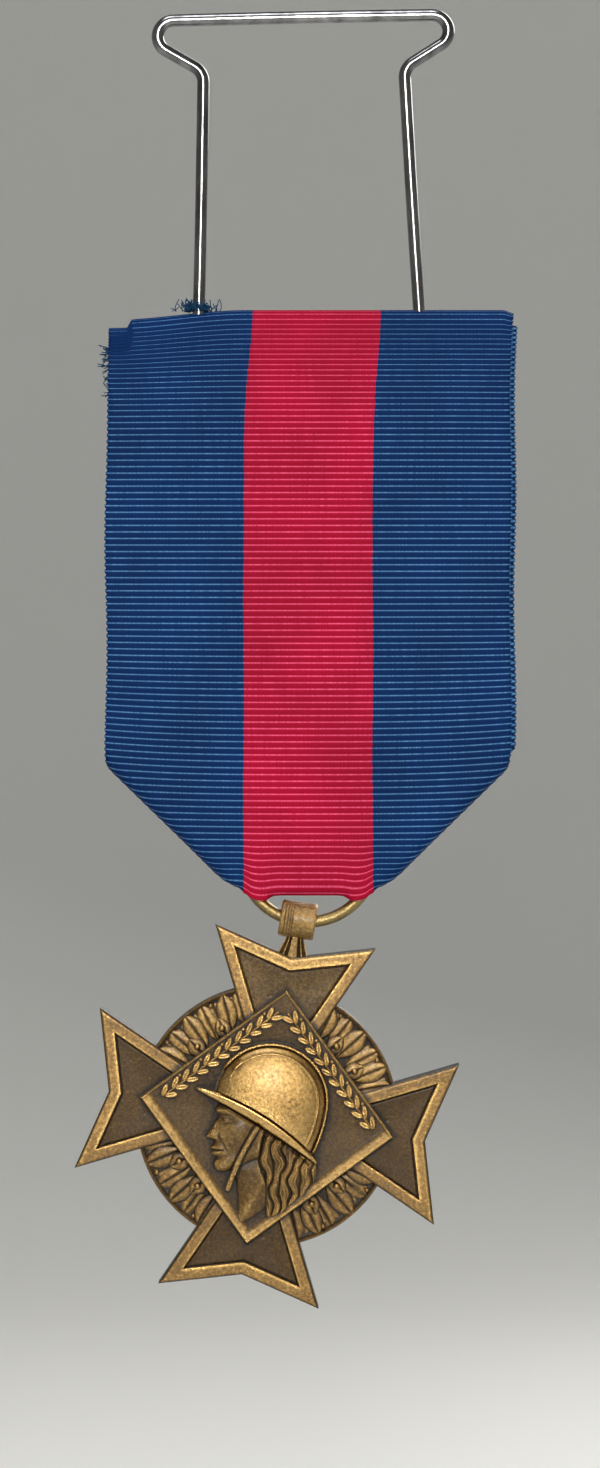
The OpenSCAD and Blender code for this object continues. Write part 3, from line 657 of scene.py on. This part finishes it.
# ---- barrel and neck ----
def make_barrel(material):
    """A tube with rounded lips, turned about the hinge's axis, and its filed left end."""
    lip = 0.22
    corner = np.radians(np.linspace(0, 90, 5))
    outer = [(BARREL_HALF - lip + lip * math.sin(t), BARREL_R - lip + lip * math.cos(t)) for t in corner]
    left_lip = [(-x, r) for x, r in outer[::-1]]
    middle = [(x, BARREL_R - 0.03 * math.cos(x * 1.4)) for x in np.linspace(-1.4, 1.4, 71)]
    bevel = 0.06
    bore = [(BARREL_HALF, BARREL_BORE + bevel), (BARREL_HALF - bevel, BARREL_BORE)]
    bore += [(bevel - BARREL_HALF, BARREL_BORE), (-BARREL_HALF, BARREL_BORE + bevel)]
    sides = 72
    a = np.linspace(0, 2 * math.pi, sides, endpoint=False)
    profile = np.array(left_lip + middle + outer + bore)
    u = np.repeat(profile[:, 0][None], sides, 0)
    facing = np.clip(np.cos(a - 1.5 * math.pi), 0, 1)[:, None] * (profile[:, 1] > BARREL_BORE + 0.3)
    file_marks = (-1.2, -0.93, -0.7, -0.5)
    filed = sum(-0.045 * np.exp(-((u - at) / 0.045) ** 2) for at in file_marks) * facing**3
    r = profile[:, 1][None] + filed
    v = HINGE_V + r * np.cos(a)[:, None]
    y = r * np.sin(a)[:, None]
    points = on_medal(u, v, y).reshape(-1, 3)
    faces = ring_faces(sides, len(profile), closed=True)
    wear_and_painted_light = np.broadcast_to(0.62 - 0.1 * (abs(u) < 1.35), u.shape) + filed * 32
    barrel = mesh_object("barrel", points, faces, material, "medal",
                         {"wear_and_painted_light": np.clip(wear_and_painted_light, -1, 1), "grain": 0.35 + 0 * wear_and_painted_light}, keep_sharp=50)
    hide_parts("suspension_barrel")


def make_neck(material):
    """A fluted fan from the barrel down into the notch of the upper arm."""
    q = np.linspace(0, 1, 50)[:, None]
    p = np.linspace(-1, 1, 91)[None, :]
    top, low_w = HINGE_V - BARREL_R + 0.25, 1.45
    width = 0.8 + (low_w - 0.8) * q**1.3
    end = NOTCH_V + np.abs(p) * low_w * (TIP_V - NOTCH_V) / TIP_U
    u = width * p
    v = top + (end - 0.25 - top) * q
    flute = 1 - sum(np.exp(-(((np.abs(p) - at) / 0.09) ** 2)) for at in (0.45, 0.8))
    h = 0.42 + 0.24 * flute * np.sqrt(np.clip(1 - 0.55 * p**2, 0, 1)) + 0 * q
    wear_and_painted_light = np.clip(flute * 1.1 - 0.95 + 0.25 * (np.abs(p) > 0.5), -1, 1) + 0 * q
    neck = relief("neck_fan", u, v, h, h, material, wear_and_painted_light, 0.2 + 0 * wear_and_painted_light)
    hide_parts("neck")


# ---- cross and wreath ----
def arm_height(u, v):
    """Height of an arm above the medal's middle plane, how grainy it is there, and how near its rounded
    outer edge, where shade is painted.
    """
    k = TIP_U / (TIP_V - ROOT_V)
    to_side = (k * (v - ROOT_V) - np.abs(u)) / math.sqrt(1 + k * k)
    e = (TIP_V - NOTCH_V) / TIP_U
    to_end = (NOTCH_V + e * np.abs(u) - v) / math.sqrt(1 + e * e)
    d = np.minimum(to_side, to_end)
    border = 1.1
    round_edge = 0.16 * np.clip(1 - d / 0.28, 0, 1) ** 2
    flat = CROSS_H - round_edge
    groove = 0.16 * np.exp(-((d - border - 0.10) / 0.075) ** 2)
    field = CROSS_H - 0.26
    inner = smooth_step(d, border - 0.02, border + 0.09)
    dish = 0.05 * smooth_step(d, border, border + 2.2)
    h = flat * (1 - inner) + (field - dish) * inner - groove
    return h, inner, np.clip(1 - d / 0.22, 0, 1)


def make_arms(material):
    """The four arms, one height field turned a quarter each time."""
    rows, cols = 90, 161
    a = np.linspace(0.40, 1, rows)[:, None]
    b = np.linspace(-1, 1, cols)[None, :]
    # closer points near the sides, where the border is
    b = np.sign(b) * (1 - (1 - np.abs(b)) ** 1.15)
    u = a * b * TIP_U
    v = ROOT_V + a * (NOTCH_V + np.abs(b) * (TIP_V - NOTCH_V) - ROOT_V)
    h, inner, edge = arm_height(u, v)
    step = (TIP_V - ROOT_V) * 0.6 / rows
    # painted shade: the arms are darker along their rounded outer edges
    wear_and_painted_light = wear_of(h, step) - 0.02 - 0.8 * edge
    dents = sum(bump_at(u, v, (rng.uniform(-6, 6), rng.uniform(9, 15)), (0.12, 0.09), -0.03)
                for _ in range(10))
    grain = 0.12 + 0.88 * inner
    for i, name in enumerate(("upper", "left", "lower", "right")):
        t = math.radians(90 * i)
        uu, vv = u * math.cos(t) - v * math.sin(t), u * math.sin(t) + v * math.cos(t)
        # painted light from above: the upper arm's field is lighter and the other three arms are darker
        painted_light_from_above = 0.3 * inner if name == "upper" else -0.12
        # painted shadow: the arms are darker right beside the plaque's edge
        dark = np.clip(wear_and_painted_light + painted_light_from_above - 1.1 * near_plaque(u, v), -1, 1)
        arm = relief(f"{name}_arm", uu, vv, h + dents, h, material, dark, grain)
    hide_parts("cross")


def leaf_grid(at, turn, length, width, lift, rows=26, cols=15):
    """A laurel leaf: (u, v) places and heights, pointed at both ends, with a sunken midrib."""
    t = np.linspace(0, 1, rows)[:, None]
    b = np.linspace(-1, 1, cols)[None, :]
    half = width / 2 * np.sin(math.pi * np.clip(t, 0.004, 0.996) ** 1.3) ** 0.7
    along = (t - 0.5) * length + 0 * b
    across = half * b
    c, s = math.cos(turn), math.sin(turn)
    u = at[0] + across * c - along * s
    v = at[1] + across * s + along * c
    arch = np.sin(math.pi * np.clip(t, 0.02, 0.98)) ** 0.45
    h = lift + 0.05 + 0.22 * arch * (1 - b**2) ** 0.7 - 0.14 * arch * np.exp(-((b / 0.10) ** 2))
    return u, v, h


def near_plaque(u, v):
    """How close a place beside the plaque lies to its edge, 1 right at it."""
    beyond = np.maximum(np.abs(u + v), np.abs(v - u)) / math.sqrt(2) - PLAQUE_SIDE / 2
    return np.exp(-((np.maximum(beyond, 0) / 0.3) ** 2))


def make_wreath(material):
    """Laurel leaves fanned over a disc in the four gaps between the arms."""
    sides = 240
    a = np.linspace(0, 2 * math.pi, sides, endpoint=False)[:, None]
    r = np.array([6.5, 9, 11.0, 11.55, 11.8, 11.95, WREATH_R])
    rim = np.array([0.55, 0.55, 0.55, 0.60, 0.86, 0.80, 0.62])
    # the front from the middle out, then the back from the rim in
    r, y = np.concatenate([r, r[::-1]]), np.concatenate([-rim, rim[::-1]])
    wear_and_painted_light = np.where(np.abs(y) > 0.7, -0.1, -0.9) + 0 * a
    disc = mesh_object("wreath_disc", on_medal(r * np.cos(a), r * np.sin(a), y).reshape(-1, 3),
                       ring_faces(sides, len(r), closed=True), material, "medal",
                       {"wear_and_painted_light": wear_and_painted_light, "grain": 0.6 + 0 * wear_and_painted_light}, keep_sharp=40)
    parts, wears = [], []
    for gap in range(4):
        middle = math.radians(45 + 90 * gap)
        layers = [(turn, 10.65, 2.5, 0.36) for turn in (-26.5, -17.6, -8.8, 0.0, 8.8, 17.6, 26.5)]
        layers += [(-22.0, 10.0, 3.7, 0.46), (-4.6, 10.05, 3.8, 0.46), (13.2, 10.0, 3.7, 0.46),
                  (-13.4, 9.95, 3.8, 0.62), (4.3, 10.05, 3.8, 0.62), (22.0, 9.9, 3.6, 0.62),
                  (-8.8, 8.75, 2.5, 0.80), (8.8, 8.75, 2.5, 0.80)]
        for turn, out, long, lift in layers:
            lean = math.radians(turn + rng.normal(0, 0.7))
            at_r = out + rng.normal(0, 0.05)
            at = (at_r * math.cos(middle + lean), at_r * math.sin(middle + lean))
            spin = middle + lean * 1.15 - math.pi / 2 + math.radians(rng.normal(0, 3))
            size = (long, 2.05 - 0.35 * (lift > 0.7) + rng.normal(0, 0.06))
            for face in (1, -1):
                u, v, h = leaf_grid(at, spin, *size, lift)
                parts.append(shell(u, v, -face * h, -0.2 * face, flip=face < 0))
                across = np.broadcast_to(np.abs(np.linspace(-1, 1, u.shape[1]))[None, :], u.shape)
                # painted shade: the leaves in the two lower gaps are darker than the upper ones, for light
                # from above
                w = 0.6 - 0.35 * (gap > 1) - 1.7 * across**4 - 1.2 * np.exp(-((across / 0.17) ** 2))
                # painted shadow: the leaves are darker beside the plaque's edge
                w = w - 0.9 * near_plaque(u, v)
                wears.append(np.concatenate([w.ravel(), np.full(u.size, -1.0)]))
    points, faces = joined(parts)
    wear_and_painted_light = np.concatenate(wears)
    leaves = mesh_object("wreath_leaves", points, faces, material, "medal",
                         {"wear_and_painted_light": wear_and_painted_light, "grain": 0.25 + 0 * wear_and_painted_light}, keep_sharp=55)
    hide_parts("wreath")


def ball(at, r, rings=12):
    """A berry at (u, v), standing out at front or back."""
    m = 2 * rings
    t = np.linspace(0, math.pi, rings)[1:-1, None]
    a = np.linspace(0, 2 * math.pi, m, endpoint=False)[None, :]
    points = on_medal(at[0] + r * np.sin(t) * np.cos(a), at[1] + r * np.sin(t) * np.sin(a),
                      at[2] + r * np.cos(t) + 0 * a).reshape(-1, 3)
    poles = on_medal(at[0], at[1], np.array([at[2] + r, at[2] - r]))
    far, near = len(points), len(points) + 1
    faces = ring_faces(rings - 2, m)
    faces += [[far, (j + 1) % m, j] for j in range(m)]
    faces += [[far - m + j, far - m + (j + 1) % m, near] for j in range(m)]
    return np.concatenate([points, poles]), faces


def make_berries(material):
    """Round berries between the leaves, on both sides."""
    parts = []
    for gap in range(4):
        t = 45 + 90 * gap
        for turn, r, size in ((-9, 9.0, 0.36), (9, 9.0, 0.36), (-9, 11.3, 0.24), (17.5, 11.35, 0.2)):
            a = math.radians(t + turn)
            for face in (-1, 1):
                parts.append(ball((r * math.cos(a), r * math.sin(a), face * 0.95), size))
    points, faces = joined(parts)
    berries = mesh_object("wreath_berries", points, faces, material, "medal",
                          {"wear_and_painted_light": np.full(len(points), 0.35), "grain": np.full(len(points), 0.1)})
    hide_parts("berries")


# ---- plaque and head ----
DOME_AT, DOME_R, DOME_H = (0.1, 1.5), 5.0, 1.9
VISOR, NAPE = (-6.75, 1.64), (5.23, -3.47)
BRIM_BOW, SKIRT = 0.70, 0.62
FACE_TURN, FACE_AT = 8.0, (-0.05, 0.5)
FACE_SCALE = 1.1
# A plain face on thirds, looking left: brow at 0, base of the nose and chin one third lower each.
PROFILE = [(-0.2, 1.6), (-3.7, 1.6), (-4.15, 0.55), (-4.28, 0.0), (-4.12, -0.38), (-4.5, -1.15),
           (-4.98, -1.95), (-4.98, -2.2), (-4.42, -2.46), (-4.45, -2.78), (-4.66, -3.02), (-4.5, -3.2),
           (-4.6, -3.42), (-4.52, -3.62), (-4.24, -3.86), (-4.36, -4.4), (-4.15, -4.86), (-3.6, -5.03),
           (-2.6, -4.85), (-1.2, -4.3), (0.6, -3.2)]
# Soft bumps on the face: middle, half lengths, height and turn.
FEATURES = [
    ((-2.35, -1.55), (0.85, 0.75), 0.20, 20),  # cheekbone
    ((-3.55, 0.05), (0.55, 0.16), 0.13, -6),  # brow
    ((-3.42, -0.55), (0.50, 0.30), -0.30, 0),  # eye socket
    ((-3.46, -0.62), (0.27, 0.17), 0.24, 0),  # eyeball
    ((-3.36, -0.42), (0.36, 0.05), 0.09, -8),  # upper lid
    ((-3.36, -0.83), (0.32, 0.045), 0.06, 10),  # lower lid
    ((-3.66, -0.62), (0.07, 0.08), -0.10, 0),  # pupil
    ((-4.28, -1.35), (0.16, 0.75), 0.10, -24),  # bridge of the nose
    ((-4.22, -2.18), (0.20, 0.17), 0.22, 0),  # wing of the nose
    ((-3.93, -2.2), (0.07, 0.22), -0.14, 12),  # crease behind the wing
    ((-4.50, -2.36), (0.14, 0.055), -0.16, 0),  # nostril
    ((-3.55, -2.75), (0.09, 0.55), -0.07, 28),  # crease from nose to mouth
    ((-4.22, -3.0), (0.27, 0.12), 0.12, 8),  # upper lip
    ((-4.12, -3.21), (0.34, 0.05), -0.20, 4),  # line of the mouth
    ((-4.18, -3.44), (0.25, 0.13), 0.14, 0),  # lower lip
    ((-4.05, -3.82), (0.34, 0.12), -0.10, 0),  # hollow over the chin
    ((-3.85, -4.38), (0.42, 0.36), 0.15, 0),  # chin
    ((-1.9, -3.7), (1.25, 0.28), 0.12, 24),  # jaw
    ((-2.75, -3.1), (0.5, 0.5), -0.05, 0),  # hollow of the cheek
]
NECK = [(-2.7, -4.9), (-1.9, -6.3), (-1.45, -7.9), (-1.3, -9.3), (-0.6, -9.8), (0.9, -8.6),
        (4.6, -5.25), (4.2, -3.4), (1.5, -2.2), (-1.0, -3.2)]
HAIR = [(0.15, -0.6), (2.6, -1.5), (4.9, -2.9), (5.25, -4.7), (4.75, -6.0), (3.5, -7.3), (2.5, -8.45),
        (1.35, -8.9), (1.05, -7.6), (0.75, -6.0), (0.1, -4.9), (-0.25, -3.4)]


def face_place(u, v):
    """Places seen from the face's own upright frame."""
    t = math.radians(-FACE_TURN)
    du, dv = (u - FACE_AT[0]) / FACE_SCALE, (v - FACE_AT[1]) / FACE_SCALE
    return du * math.cos(t) - dv * math.sin(t), du * math.sin(t) + dv * math.cos(t)


def face_relief(u, v):
    """The face and its features, heights above the plaque."""
    fu, fv = face_place(u, v)
    d = inside_distance(fu, fv, rounded_line(PROFILE))
    h = 0.92 * (1 - np.exp(-np.maximum(d, 0) / 0.42)) + 0.10 * smooth_step(d, 0, 0.1)
    for at, size, height, turn in FEATURES:
        h += bump_at(fu, fv, at, size, height, turn)
    return np.where(d > 0, np.maximum(h, 0.0), 0.0)


def neck_relief(u, v):
    """The neck with its long muscle."""
    d = inside_distance(u, v, rounded_line(NECK))
    h = 0.62 * (1 - np.exp(-np.maximum(d, 0) / 0.6))
    line, _ = to_segment(u, v, (1.2, -3.8), (-0.5, -8.6))
    h += 0.14 * np.exp(-(line / 0.45) ** 2)
    return np.where(d > 0, h, 0.0)


def hair_relief(u, v):
    """Waved locks falling behind the strap to the nape, and how far inside their outline."""
    d = inside_distance(u, v, rounded_line(HAIR))
    along = (u - 1.0) * 0.12 - (v + 2.0) * 0.99
    across = (u - 1.0) * 0.99 + (v + 2.0) * 0.12
    squeeze = 1 + 0.11 * np.clip(along, 0, 7)
    wave = across * squeeze + 0.30 * np.sin(along * 1.75 + across * 1.3)
    wave = wave + 0.12 * np.sin(along * 3.1 - across * 2.0)
    lock = np.abs(np.sin(wave * math.pi / 1.18 + 0.4))
    strand = 0.045 * np.sin(wave * 2 * math.pi / 0.295 + 0.6 * np.sin(along))
    h = 0.72 * (1 - np.exp(-np.maximum(d, 0) / 0.42)) + 0.42 * lock**0.7 + strand - 0.15
    h += 0.14 * np.sin(along * 1.75 + across * 1.3 + 0.8)
    return np.where(d > 0, np.maximum(h, 0.05), 0.0), d


def brim_place(u, v):
    """Along the helmet's brim, and how far above the line through its middle, which bows up."""
    d = np.subtract(NAPE, VISOR)
    length = math.hypot(*d)
    d = d / length
    along = ((u - VISOR[0]) * d[0] + (v - VISOR[1]) * d[1]) / length
    across = -(u - VISOR[0]) * d[1] + (v - VISOR[1]) * d[0]
    return along, across - BRIM_BOW * np.sin(math.pi * np.clip(along, 0, 1)) ** 0.8


def portrait(u, v):
    """The helmeted head: heights above the plaque, and where it is polished."""
    hair, hair_in = hair_relief(u, v)
    h = np.maximum(face_relief(u, v), neck_relief(u, v))
    h = np.where(hair_in > 0, np.maximum(h * smooth_step(-hair_in, -0.25, 0), hair), h)
    along, across = brim_place(u, v)
    # shade under the brim
    h = h - 0.22 * np.exp(-((across + 0.62) / 0.16) ** 2) * ((along > 0.1) & (along < 0.95)) * (h > 0.1)
    bent = u + 0.22 * np.sin(np.clip((-0.9 - v) / 6.0, 0, 1) * math.pi)
    strap, t = to_segment(bent, v, (-0.5, -0.3), (-2.5, -6.95))
    on_strap = smooth_step(0.27 - strap, 0, 0.07) * (v < 0)
    h = h - 0.10 * np.exp(-((strap - 0.34) / 0.08) ** 2) * (v < -0.6) * (h > 0.3)
    strap_h = 1.22 + 0.10 * np.cos(strap * math.pi / 0.54) - 0.65 * smooth_step(t, 0.55, 1.0)
    h = np.maximum(h, on_strap * strap_h)
    buckle = np.hypot(u + 2.05, v + 5.3)
    h = h + 0.10 * smooth_step(0.36 - buckle, 0, 0.1)
    # below its middle the dome is drawn out towards the nape
    dome_v = np.where(v < DOME_AT[1], (v - DOME_AT[1]) * SKIRT, v - DOME_AT[1])
    r = np.hypot(u - DOME_AT[0], dome_v) / DOME_R
    dome = 0.30 + (DOME_H - 0.30) * np.sqrt(np.clip(1 - r**2, 0, 1)) ** 1.15
    comb_r = (r - 1.0) * DOME_R
    angle = np.degrees(np.arctan2(dome_v, u - DOME_AT[0]))
    on_comb = smooth_step(angle, -36, -22) * smooth_step(158 - angle, 0, 12)
    comb = 0.62 * np.exp(-((comb_r - 0.16) / 0.17) ** 4) - 0.20 * np.exp(-((comb_r / 0.06) ** 2))
    comb = comb * on_comb
    crest = 0.16 * np.exp(-((comb_r + 0.62) / 0.09) ** 2) * on_comb
    over = across > -0.1
    helmet = np.where(r < 1.0, dome + crest, 0.0)
    badge, _ = to_segment(u, v, (-3.62, 4.05), (-3.1, 4.75))
    helmet = helmet + 0.30 * np.exp(-(badge / 0.16) ** 2) * (r < 1.02)
    helmet = np.maximum(helmet, comb)
    h = np.where(over, np.maximum(helmet, h * (helmet < 0.02) * (across < 0.4)), h)
    inside = np.clip(np.sin(math.pi * np.clip(along, 0, 1)), 0, 1) ** 0.5
    half = 0.64 * inside
    near = across / np.maximum(half, 1e-3)
    brim = (0.72 + 0.42 * inside) * np.sqrt(np.clip(1 - near**4, 0, 1)) + 0.10 * near * (np.abs(near) < 1)
    on_brim = (along > 0) & (along < 1) & (np.abs(near) < 1)
    line = 0.07 * np.exp(-((across - half + 0.16) / 0.05) ** 2)
    h = np.where(on_brim, np.maximum(brim - line, 0), h)
    polish = 0.55 * (over & (r < 1.05)) + 0.7 * on_brim
    return h, polish


def sprig(along, out):
    """A laurel sprig inside one side of the plaque: stem, paired leaves and berries."""
    half, inset = PLAQUE_SIDE / 2, 1.15
    line = out - (half - inset)
    stem_half = half - inset - 0.55
    reach = smooth_step(stem_half - np.abs(along), 0, 0.15)
    h = 0.16 * np.exp(-(line / 0.075) ** 2) * reach
    pairs, leaf_l, leaf_w, lean = 11, 1.25, 0.52, math.radians(27)
    first = leaf_l / 2 - stem_half
    step = (2 * stem_half - leaf_l) / (pairs - 1)
    for i in range(pairs):
        for up in (-1, 1):
            a, o = along - (first + step * i + 0.12 * up), line - up * 0.36
            t = (o * math.sin(lean) * up - a * math.cos(lean)) / (leaf_l / 2)
            w = (a * math.sin(lean) * up + o * math.cos(lean)) / (leaf_w / 2)
            body = 1 - np.abs(t) ** 2.0 - np.abs(w) ** 1.7
            midrib = 0.07 * np.exp(-((w / 0.16) ** 2)) * (body > 0)
            leaf = 0.24 * np.clip(body * 3.0, 0, 1) ** 0.6 - midrib
            h = np.maximum(h, leaf)
        if i % 2 == 0 and i < pairs - 1:
            berry = np.hypot(along - (first + step * (i + 0.5)), line - 0.62)
            h = np.maximum(h, 0.22 * np.sqrt(np.clip(1 - (berry / 0.15) ** 2, 0, 1)))
    return h


def make_plaque(material):
    """The square plaque with its head, one height field whose grid follows the square's sides."""
    n = 400
    half = PLAQUE_SIDE / 2
    line = np.linspace(-half, half, n)
    p, q = np.meshgrid(line, line)
    # p runs down to the right and q up to the right
    u, v = (p + q) / math.sqrt(2), (q - p) / math.sqrt(2)
    step = line[1] - line[0]
    edge = np.minimum(half - np.abs(p), half - np.abs(q))
    low_edge = np.minimum(half - p, half + q)
    high_edge = np.minimum(half + p, half - q)
    base = CROSS_H + PLAQUE_H
    h = np.full(u.shape, base)
    h -= 0.10 * smooth_step(edge, 0.3, 5.0)
    high = smooth_step(0.26 - high_edge, 0, 0.10)
    h += 0.12 * high
    band = smooth_step(1.25 - low_edge, 0, 0.75)
    h += 0.20 * band
    h -= 0.22 * np.clip(1 - edge / 0.16, 0, 1) ** 2
    leaves = np.maximum(sprig(p, q), sprig(-q, -p))
    head, polish = portrait(u, v)
    h += np.where(head > 0.02, 0, leaves)
    h += head
    # a thin sunken line all round the head, as a die leaves it
    h -= 0.05 * np.exp(-((head - 0.05) / 0.03) ** 2) * (head < 0.12) * (head > 0)
    wear_and_painted_light = wear_of(h, step) + 0.22 * band + 0.3 * high + polish * 0.8
    wear_and_painted_light += 0.3 * (leaves > 0.05) * (head < 0.02)
    wear_and_painted_light -= 0.12 * ((head < 0.02) & (leaves < 0.02) & (band < 0.5))
    grain = np.clip(0.75 - polish * 1.1 - band * 0.5 - (leaves > 0.05) * 0.6, 0.05, 1)
    back_h = CROSS_H + 0.3 - 0.22 * np.clip(1 - edge / 0.16, 0, 1) ** 2
    sunk = smooth_step(edge, 0.9, 1.05)
    back_h = back_h - 0.14 * sunk
    # a ring of laurel on the blank reverse
    radius, angle = np.hypot(u, v), np.arctan2(v, u)
    leaf_n = 26
    turn = (angle * leaf_n / (2 * math.pi)) % 1 - 0.5
    body = 1 - (turn / 0.42 + (radius - 5.4) * 0.35) ** 2 - np.abs((radius - 5.4) / 0.85) ** 2.2
    ringed = 0.2 * np.clip(body * 2.5, 0, 1) ** 0.6
    back_h = back_h + np.minimum(ringed, 0.13)
    back_wear = wear_of(back_h, step) + 0.25 * (1 - sunk)
    wears = (np.clip(wear_and_painted_light, -1, 1), np.clip(back_wear, -1, 1))
    plaque = relief("portrait_plaque", u, v, h, back_h, material, wears, (grain, 0.3 + 0.5 * sunk), 75)
    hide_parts("plaque", "laurel_spray", "helmet", "helmet_comb", "helmet_badge", "head",
                "hair", "chin_strap", "reverse_tablet")


# ---- stage, light and camera ----
def make_stage(material):
    """A pale bowl all round: flat floor under the medal, curving up to a wall."""
    floor_z, r_flat, r_wall, top = -0.30, 1.1, 1.9, 2.6
    t = np.linspace(0, math.pi / 2, 16)
    r = np.concatenate([[0.001, 0.5], r_flat + (r_wall - r_flat) * np.sin(t), [r_wall]])
    z = np.concatenate([[0, 0], (r_wall - r_flat) * (1 - np.cos(t)), [top]]) + floor_z
    a = np.linspace(0, 2 * math.pi, 97)[:-1]
    points = np.stack([r[:, None] * np.cos(a), r[:, None] * np.sin(a), z[:, None] + 0 * a], axis=-1)
    points = points.reshape(-1, 3) / MM
    faces = ring_faces(len(r), len(a))
    mesh_object("studio_bowl", points, faces, material, None)


def area_light(name, at, aim, size, power, color):
    data = bpy.data.lights.new(name, "AREA")
    data.shape = "RECTANGLE"
    data.size, data.size_y = size
    data.energy = power
    data.color = color
    obj = bpy.data.objects.new(name, data)
    bpy.context.scene.collection.objects.link(obj)
    obj.location = at
    obj.visible_camera = False
    aim_from(obj, aim)


def aim_from(obj, target):
    d = np.array(target, float) - np.array(obj.location, float)
    d /= np.linalg.norm(d)
    obj.rotation_euler = Vector(d).to_track_quat("-Z", "Y").to_euler()


def make_light():
    """A dim studio sky, a key light on the medal, a weak flash and two soft fills."""
    world = bpy.data.worlds.new("studio")
    bpy.context.scene.world = world
    world.use_nodes = True
    tree = world.node_tree
    back = tree.nodes["Background"]
    coords = tree.nodes.new("ShaderNodeTexCoord")
    split = tree.nodes.new("ShaderNodeSeparateXYZ")
    tree.links.new(coords.outputs["Generated"], split.inputs[0])
    sky = ramp(tree, split.outputs["Z"],
               ((0.0, (0.25, 0.25, 0.25)), (0.35, (0.55, 0.56, 0.58)), (1.0, (1.0, 1.0, 1.0))))
    tree.links.new(sky, back.inputs["Color"])
    back.inputs["Strength"].default_value = 0.15
    middle, medal = (0, 0, -0.06), (0, 0, -0.09)
    area_light("key", (0.0, -0.62, 0.115), medal, (0.07, 0.07), 3.0, (1.0, 0.97, 0.92))
    area_light("flash", (0.0, -0.40, -0.03), medal, (0.04, 0.04), 0.35, (1.0, 0.98, 0.95))
    area_light("top_soft", (-0.1, -0.25, 0.75), middle, (0.5, 0.4), 5.0, (0.95, 0.98, 1.0))
    area_light("back_soft", (0.5, 0.8, 0.45), middle, (0.6, 0.6), 8.0, (1.0, 0.98, 0.95))


def make_camera():
    """A long lens that frames the whole object from the front."""
    bpy.context.scene.view_settings.view_transform = "Standard"
    data = bpy.data.cameras.new("camera")
    cam = bpy.data.objects.new("camera", data)
    bpy.context.scene.collection.objects.link(cam)
    bpy.context.scene.camera = cam
    data.lens = 85
    data.sensor_width = 36
    tall = 0.1347
    centre = np.array([-0.00025, 0.0, -0.0657])
    cam.location = centre - np.array([0, tall * data.lens / data.sensor_width, 0])
    aim_from(cam, centre)


# ---- build ----
bronze_mat = bronze("bronze", (0.018, 0.010, 0.004), (0.165, 0.094, 0.028), (0.50, 0.315, 0.105))
brass_mat = bronze("ring_brass", (0.035, 0.026, 0.008), (0.20, 0.140, 0.045), (0.58, 0.42, 0.17),
                   rough=(0.24, 0.42))
steel_mat = steel()
silk_mat = silk()
blue_thread = matte("thread", (0.01, 0.035, 0.11), 0.75, 0.1)
frayed = matte("frayed_thread", (0.004, 0.035, 0.085), 0.75, 0.1)

make_ribbon(silk_mat)
make_stitches(blue_thread)
left_prong_x = make_pin(steel_mat)
make_fray(frayed, left_prong_x)
make_ring(brass_mat)
make_barrel(bronze_mat)
make_neck(bronze_mat)
make_arms(bronze_mat)
make_wreath(bronze_mat)
make_berries(bronze_mat)
make_plaque(bronze_mat)
make_stage(matte("stage", (0.82, 0.82, 0.80), 0.9))
make_light()
make_camera()
